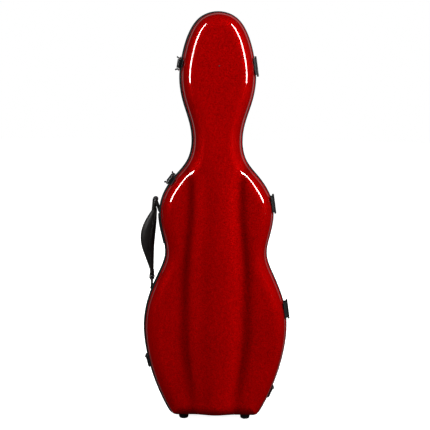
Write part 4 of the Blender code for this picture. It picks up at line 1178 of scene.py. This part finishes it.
def reach_of_edge(centre, outward, half, shift):
    """How far the edge reaches along outward from the centre, within half of it along the edge."""
    along = Vector((outward.z, 0, -outward.x))
    best = -1e9
    for x, z in half_outline()[:, :2]:
        offset = Vector((x + shift, 0, z)) - centre
        if abs(offset.dot(along)) <= half:
            best = max(best, offset.dot(outward))
    return best


def make_hinge(name, height):
    """Two leaves with rolled knuckles round a headed pin, riveted to the walls."""
    up = Vector((HINGE_LEAN, 0, 1)).normalized()
    centre = Vector((HINGE_X, 0, HINGE_Z)) + up * ((height - HINGE_Z) / up.z)
    outward = Vector((up.z, 0, -up.x))
    half, third = HINGE_LENGTH / 2, HINGE_LENGTH / 6
    arm = -KNUCKLE_RADIUS
    inside = arm + HINGE_LEAF
    curl = [(arm + 0.1, 4.4), *arc((0, 0), KNUCKLE_RADIUS, 180, 470, 30),
            *arc((0, 0), PIN_BORE, 470, 145, 30), (inside - 0.1, 4.4)]
    for leaf, sign, shift, spans in (
        ("base", 1, 0, ((-half, -third - 0.2), (third + 0.2, half))),
        ("lid", -1, LID_SHIFT, ((-third + 0.2, third - 0.2),)),
    ):
        wall = reach_of_edge(centre, outward, half, shift) - FLARE + GAP + 0.1
        face = wall + HINGE_LEAF
        plate = [(arm, 2.6), (arm, 8.8), (wall, 13.2), (wall, 25), (face, 25), (face, 13.8), (inside, 9.4),
                 (inside, 2.6)]
        at = frame_matrix(centre, outward, Y * sign, up)
        parts = [prism(plate, -half + 2, half - 2, at), *[prism(curl, *span, at) for span in spans]]
        piece(f"{name}_hinge_{leaf}_plate", "hardware", 35, parts, leaf, f"{name}_hinge_{leaf}_leaf",
              ease_by=0.28)
        heads = [frame_matrix(at @ Vector((face, 19.3, u)), Y * sign, up, outward) for u in (-10, 0, 10)]
        rivets(f"{name}_hinge_{leaf}_rivets", heads, 1.9, leaf)
    end = half + GAP
    top = [(1.1, end), (2.1, end), (2.1, half + 1.2), (1.6, half + 2.0), (0.6, half + 2.2)]
    profile = [(r, -h) for r, h in top[::-1]] + top
    pin = turned(frame_matrix(centre, outward, Y, up), profile, 24)
    piece(f"{name}_hinge_headed_pin", "hardware", 35, [pin], "base", f"{name}_hinge_pin", "steel")


def make_latch(name, height):
    """Draw latch: a channel plate with flared ears, a ribbed lever on a pin, a bail, and its catch."""
    at = edge_frame(height, -1)
    wall = -FLARE + GAP + 0.1
    along, across = axes(at, "xzy"), axes(at, "yzx")
    axis_y, axis_n = LEVER_AXIS
    half = LATCH_HALF
    ear = [(half, wall), (half, 6.5), (half + 0.7, 9.0), (half + 2.2, 11.2), (half + 1.6, 12.2),
           (half - 0.4, 12.4), (half - 2.0, 10.2), (half - 2.2, 7.2), (half - 1.6, wall + 1.2)]
    side = half - 0.9
    foot = [(-side, wall + 0.2), (side, wall + 0.2), (side, wall + 1.1), (-side, wall + 1.1)]
    channel = ear + [(-a, b) for a, b in ear[::-1]]
    parts = [prism(channel, 12.5, 23.5, along), prism(foot, 21, 31, along)]
    piece(f"{name}_latch_channel", "hardware", 35, parts, "base", f"{name}_latch_plate", ease_by=0.25)
    rivets(f"{name}_latch_rivets", [moved(at, u, 27.4, wall + 1.1) for u in (-6, 6)], 2.0, "base")

    pin = turned(axes(moved(at, 0, axis_y, axis_n), "yzx"),
                 [(0.6, -14.0), (1.1, -13.6), (1.1, 13.6), (0.6, 14.0)], 20)
    piece(f"{name}_latch_axle", "steel", 40, [pin], "base", f"{name}_latch_pin")

    lever = [*arc(LEVER_AXIS, 3.2, 100, 270, 18), (24, 2.2), (34, 3.4), (38, 5.4), (37.4, 6.6), (33, 5.6),
             (26.4, 6.6), (25.6, 9.4), (22.0, 10.4), (19.5, 9.6)]
    parts = [prism(lever, -LEVER_HALF, LEVER_HALF, across)]
    for y in (27.6, 29.4, 31.2):
        top = 6.9 - (y - 26.4) * 0.12
        rib = [(y - 0.5, 5.2), (y - 0.35, top), (y + 0.35, top), (y + 0.5, 5.2)]
        parts.append(prism(rib, -LEVER_HALF + 1.4, LEVER_HALF - 1.4, across))
    node = f"{name}_latch_lever"
    piece(f"{name}_latch_arm", "hardware", 35, parts, node, node, ease_by=0.3)

    bail_at = axes(moved(at, 0, axis_y + BAIL_OFFSET[0], axis_n + BAIL_OFFSET[1]), "yxz")
    bail_at = bail_at @ Matrix.Diagonal((-1, 1, 1, 1)) @ Matrix.Rotation(math.radians(1.9), 4, "Y")
    bail = wire(rounded_loop(BAIL_REACH, 19.4, 1.6, bail_at), BAIL_WIRE)
    node = f"{name}_latch_bail"
    piece(f"{name}_latch_wire", "dark_steel", 60, [bail], node, node, "steel")

    wall += LID_SHIFT * at.col[2].x
    hook = [(-26, wall), (-12.6, wall), (-12.6, wall + 3.2), (-13.0, 7.6), (-13.7, 8.2), (-14.6, 8.2),
            (-14.8, wall + 1.2), (-26, wall + 1.2)]
    catch = prism(hook, -7.8, 7.8, across)
    piece(f"{name}_latch_hook", "hardware", 35, [catch], "lid", f"{name}_latch_catch", ease_by=0.25)
    rivets(f"{name}_catch_rivets", [moved(at, u, -21.5, wall + 1.2) for u in (-4.2, 4.2)], 1.7, "lid")


# ---- handle -------------------------------------------------------------------------------------------


def edge_sweep(polygon, low, high, steps=24):
    """Rings of a section of (y, outward) points, swept along the left edge between two heights."""
    frames = [edge_frame(low + (high - low) * i / steps, -1) for i in range(steps + 1)]
    return [[at @ Vector((0, y, n)) for y, n in polygon] for at in frames]


def make_handle_bracket(name, z, low, high, flange, rivet_heights):
    """Riveted plate on the base's wall with a barrel for the ring."""
    wall = -FLARE + GAP + 0.1
    parts = [edge_sweep([(12.8, wall), (34, wall - 1.2), (34, wall), (12.8, wall + 1.2)], low, high)]
    if flange:
        out = BASE_TRIM_PROUD + 0.4
        bend = [(1.2, out), (8.0, out), (13.4, wall), (15.0, wall), (15.0, wall + 1.2),
                (13.8, wall + 1.2), (8.6, out + 1.3), (1.2, out + 1.3)]
        parts.append(edge_sweep(bend, *flange))
    section = axes(edge_frame(z, -1), "zxy")
    n = RING_STANDOFF
    barrel = [*arc((n, 0), 3.3, -150, 120, 27), *arc((n, 0), 2.3, 120, -150, 27)]
    leg = [(wall + 0.2, -5.5), (wall + 1.2, -5.5), (n - 2.4, -1.2), (n - 3.0, 1.8), (wall + 0.2, 3.0)]
    parts += [prism(outline, 15, 29, section) for outline in (barrel, leg)]
    piece(f"handle_{name}_mounting", "hardware", 35, parts, "base", f"handle_{name}_bracket", ease_by=0.25)
    heads = [moved(edge_frame(height, -1), 0, 24, wall + 0.4) for height in rivet_heights]
    rivets(f"handle_{name}_rivets", heads, 2.2, "base")


def make_handle_ring(name, z, bar):
    anchor = edge_frame(z, -1) @ Vector((0, HANDLE_Y, RING_STANDOFF))
    reach = Vector((bar[0], HANDLE_Y, bar[1])) - anchor
    first = reach.normalized()
    at = frame_matrix(anchor, first, Y, first.cross(Y))
    parts = [wire(rounded_loop(reach.length, 24.0, 4.0, at), HANDLE_RING_WIRES[name], True, 18)]
    for side in (-1, 1):
        end = frame_matrix(Vector((bar[0], HANDLE_Y + side * 10.0, bar[1])), X, Z * -side, Y * side)
        parts.append(turned(end, BAR_BOSS, 24))
    node = f"handle_{name}_ring"
    piece(f"handle_{name}_wire_ring", "hardware", 60, parts, node, node)


def grip_section(t):
    """Inner x, thickness, half width and z of the grip at a share t of its height."""
    swell = math.sin(math.pi * min(1.0, max(0.0, t)) ** GRIP_SKEW)
    inner = GRIP_LOW_X + (GRIP_HIGH_X - GRIP_LOW_X) * float(smoothstep(0.3, 0.95, t))
    z = GRIP_LOW + (GRIP_HIGH - GRIP_LOW) * t
    return inner, GRIP_THIN + GRIP_SWELL * swell, GRIP_HALF_WIDTH * (0.55 + 0.43 * swell), z


def signed_power(value, power):
    return abs(value) ** power * (1 if value > 0 else -1)


def make_grip():
    """Padded spindle that is flatter on its palm side, with a seam inside and gathered ends."""
    rings = []
    for t in (i / 44 for i in range(45)):
        inner, thick, half, z = grip_section(t)
        rings.append([Vector((inner - thick / 2 + (thick / 2 - 0.8) * signed_power(math.cos(a), 0.9),
                              HANDLE_Y + (half - 0.8) * math.sin(a), z)) for a in turns(40)])
    grip = solid("padded_grip", "grip", 80, [rings])
    soften(grip, pressure=3.0, cap=1.0, voxel=2.6)
    crease_grip(grip)
    keep_within(grip, (-154, HANDLE_Y - GRIP_HALF_WIDTH, GRIP_LOW),
                (-118, HANDLE_Y + GRIP_HALF_WIDTH, GRIP_HIGH))
    settle(grip, "handle", "grip", "handle_grip")
    for side, place in ((-1, "front"), (1, "back")):
        edge = []
        for i in range(3, 62):
            inner, thick, half, z = grip_section(i / 64)
            edge.append(Vector((inner - thick * 0.22, HANDLE_Y + side * (half * 0.9), z)))
        piping(f"grip_cord_{place}", edge, 0.8, "handle", "grip", False)
        row = [p + Vector((-2.6, side * 1.0, 0)) for p in edge[6:-6]]
        stitches(f"grip_stitches_{place}", [row], 0.3, "handle", 3.4)


def crease_grip(obj):
    """Fine gathers toward both ends of the grip."""
    for vertex in obj.data.vertices:
        p = vertex.co / MM
        t = (p.z - GRIP_LOW) / (GRIP_HIGH - GRIP_LOW)
        inner, thick, half = grip_section(t)[:3]
        centre = Vector((inner - thick / 2, HANDLE_Y, p.z))
        around = math.atan2((p.y - HANDLE_Y) / half, (p.x - centre.x) / (thick / 2))
        gather = math.exp(-((min(t, 1 - t) / 0.16) ** 2))
        depth = 0.45 * gather * (0.5 + 0.5 * math.cos(9 * around + 4 * math.sin(7 * t)))
        vertex.co -= (p - centre).normalized() * depth * MM
    obj.data.update()


def make_handle_webbing():
    """Doubled webbing from the grip's ends round the rings' bars, with sewn boxes and collars."""
    ux, uz = HANDLE_UPPER_BAR
    lx, lz = HANDLE_LOWER_BAR
    upper = [(-128.5, GRIP_HIGH - 6), (-128.0, GRIP_HIGH + 0.4), (ux - 5.0, uz - 9),
             *arc((ux, uz), UPPER_LOOP_RADIUS, 180, -40, 22), (ux + 0.9, uz - 6.4), (ux - 1.6, uz - 13)]
    loop = arc((0, lz), LOWER_LOOP_RADIUS, 180, 400, 22)
    lower = [(-130.6, GRIP_LOW + 6), (-131.6, GRIP_LOW - 0.4), (lx - 3.9, lz + 5),
             *[(lx + x * LOWER_LOOP_SQUASH, z) for x, z in loop], (lx + 1.2, lz + 7.0), (lx + 0.4, lz + 12)]
    for name, path, thickness in (("upper", upper, 2.8), ("lower", lower, 2.0)):
        points = [Vector((x, HANDLE_Y, z)) for x, z in path]
        strap(f"handle_{name}_band", points, Y, WEBBING_HALF_WIDTH, thickness, "handle",
              f"handle_{name}_webbing")
        rows = [[Vector((x - 1.0, HANDLE_Y + side, z)) for x, z in path[1:8]] for side in (-7, 7)]
        stitches(f"handle_{name}_stitches", rows, 0.3, "handle", 2.4)
    make_collar("upper", (-125.0, GRIP_HIGH - 4, 9.4), (-123.4, uz - 3.6, 7.6))
    make_collar("lower", (-128.6, GRIP_LOW + 5, 9.4), (-128.8, lz + 3.4, 10.2))


def make_collar(name, start, end):
    """Folded leatherette sleeve between two (x, z, thickness) ends, where the grip meets the webbing."""
    rings = []
    for t in (i / 12 for i in range(13)):
        x, z, thick = (low + (high - low) * t for low, high in zip(start, end))
        thick += 0.35 * math.sin(5 * math.pi * t) - 0.7 * math.sin(math.pi * t)
        close = math.sqrt(max(0.05, 1 - abs(2 * t - 1) ** 7))
        rings.append([Vector((x + thick / 2 * close * signed_power(math.cos(a), 0.75),
                              HANDLE_Y + 9.6 * close * signed_power(math.sin(a), 0.75), z))
                      for a in turns(28)])
    piece(f"handle_{name}_collar", "grip", 70, [rings], "handle")


# ---- carrying rings, feet and the head's rivet ----------------------------------------------------------


def make_strap_ring(name, at, standoff, seat):
    """Folded bracket with a ring that hangs from it; the frame is (down, across, outward)."""
    p = np.array([(16, seat + 0.7), (4.5, seat + 0.7), (1.2, standoff - 3.6),
                  *arc((0, standoff), 3.0, -60, 200, 24)], float)
    d = unit_rows(np.gradient(p, axis=0))
    side = np.stack([-d[:, 1], d[:, 0]], axis=1) * 0.6
    fold = prism(np.vstack([p + side, (p - side)[::-1]]), -9, 9, axes(at, "xzy"))
    piece(f"strap_{name}_fold", "hardware", 35, [fold], "base", f"strap_{name}_bracket", ease_by=0.25)
    heads = [moved(at, 11.5, across, seat + 1.3) for across in (-4.5, 4.5)]
    rivets(f"strap_{name}_rivets", heads, 2.0, "base")
    lean = moved(at, 0, 0, standoff) @ Matrix.Rotation(math.radians(2), 4, "Y")
    ring = wire(rounded_loop(21, 25, 4, lean), 1.7, True, 18)
    node = f"strap_{name}_ring"
    piece(f"strap_{name}_wire_ring", "dark_steel", 60, [ring], node, node, "steel")


def make_strap_rings():
    """Two rings on the side walls of the lower bout, and two on the back at the shoulders."""
    for name, side in (("left", -1), ("right", 1)):
        edge = edge_frame(LOWER_RING_HEIGHTS[name], side)
        along, outward = edge.col[0].to_3d(), edge.col[2].to_3d()
        down = along if along.z < 0 else -along
        at = frame_matrix(edge @ Vector((0, LOWER_RING_Y, 0)), down, outward.cross(down), outward)
        make_strap_ring(f"lower_{name}", at, LOWER_RING_STANDOFF, -FLARE + GAP + 0.2)
        x, z = side * UPPER_RING_X, UPPER_RING_Z
        seat = max(float(BASE.face(x + dx, z - dz)) for dx in (-9, 9) for dz in (0, 16)) + 0.4
        at = frame_matrix(Vector((x, 0, z)), -Z, -X, Y)
        make_strap_ring(f"upper_{name}", at, seat + UPPER_RING_STANDOFF, seat)


def bottom_height(x, y):
    """Height of a shell's underside at a depth from the seam, where the bottom is straight."""
    face = 0.5 * float(LID.face(x, 20) + BASE.face(x, 20))
    rise = min(0.98, max(0.0, (abs(y) - ROUND_START) / (face - ROUND_START)))
    return BOTTOM_Z + FLARE + ROUND_WIDTH * (1 - (1 - rise * rise) ** (1 / ROUND_POWER))


def make_feet():
    """Domed rubber bumpers with a moulded groove; their tops follow the shells' undersides."""
    dome_profile = [(3.6, 0.0), (4.6, 0.05), (6.0, 0.4), (7.4, 1.0), (8.4, 1.8), (9.0, 2.7), (9.3, 3.3),
                    (9.0, 3.6), (9.0, 4.0), (9.4, 4.3), (FOOT_RADIUS, 5.0)]
    for half, sign in (("lid", -1), ("base", 1)):
        for name, side in (("left", -1), ("right", 1)):
            rings = turned(Matrix.Translation((side * FOOT_X, sign * FOOT_Y, 0)), dome_profile, 40)
            for share in (1.0, 5.0 / FOOT_RADIUS):
                centre = Vector((side * FOOT_X, sign * FOOT_Y))
                spots = [centre + (p.xy - centre) * share for p in rings[len(dome_profile) - 1]]
                rings.append([Vector((*p, bottom_height(*p) - 0.2)) for p in spots])
            piece(f"{half}_bumper_{name}", "rubber", 45, [rings], half, f"{half}_foot_{name}")


def make_head_rivet():
    """Small rivet in the middle of the head, where the lid's lining is held."""
    x, z = HEAD_RIVET
    at = frame_matrix(Vector((x + LID_SHIFT, -float(LID.face(x, z)), z)), X, Z, -Y)
    rivets("lid_head_rivet", [at], 1.5, "lid", 0.7)


# ---- run ---------------------------------------------------------------------------------------------

bpy.context.scene.view_settings.view_transform = "Standard"
make_camera()
make_lights()
make_world()
make_floor()
make_materials()
make_shells()
make_trims()
make_lid_lining()
make_base_lining()
make_pads()
make_neck_support()
make_door()
make_bow_holders()
for key, height in HINGE_HEIGHTS.items():
    make_hinge(key, height)
for key, height in LATCH_HEIGHTS.items():
    make_latch(key, height)
make_handle_bracket("upper", HANDLE_TOP_Z, 350, 420, (350, 409), (358, 380, 414))
make_handle_bracket("lower", HANDLE_LOW_Z, 232, 262, None, (237, 257))
make_handle_ring("upper", HANDLE_TOP_Z, HANDLE_UPPER_BAR)
make_handle_ring("lower", HANDLE_LOW_Z, HANDLE_LOWER_BAR)
make_grip()
make_handle_webbing()
make_strap_rings()
make_feet()
make_head_rivet()
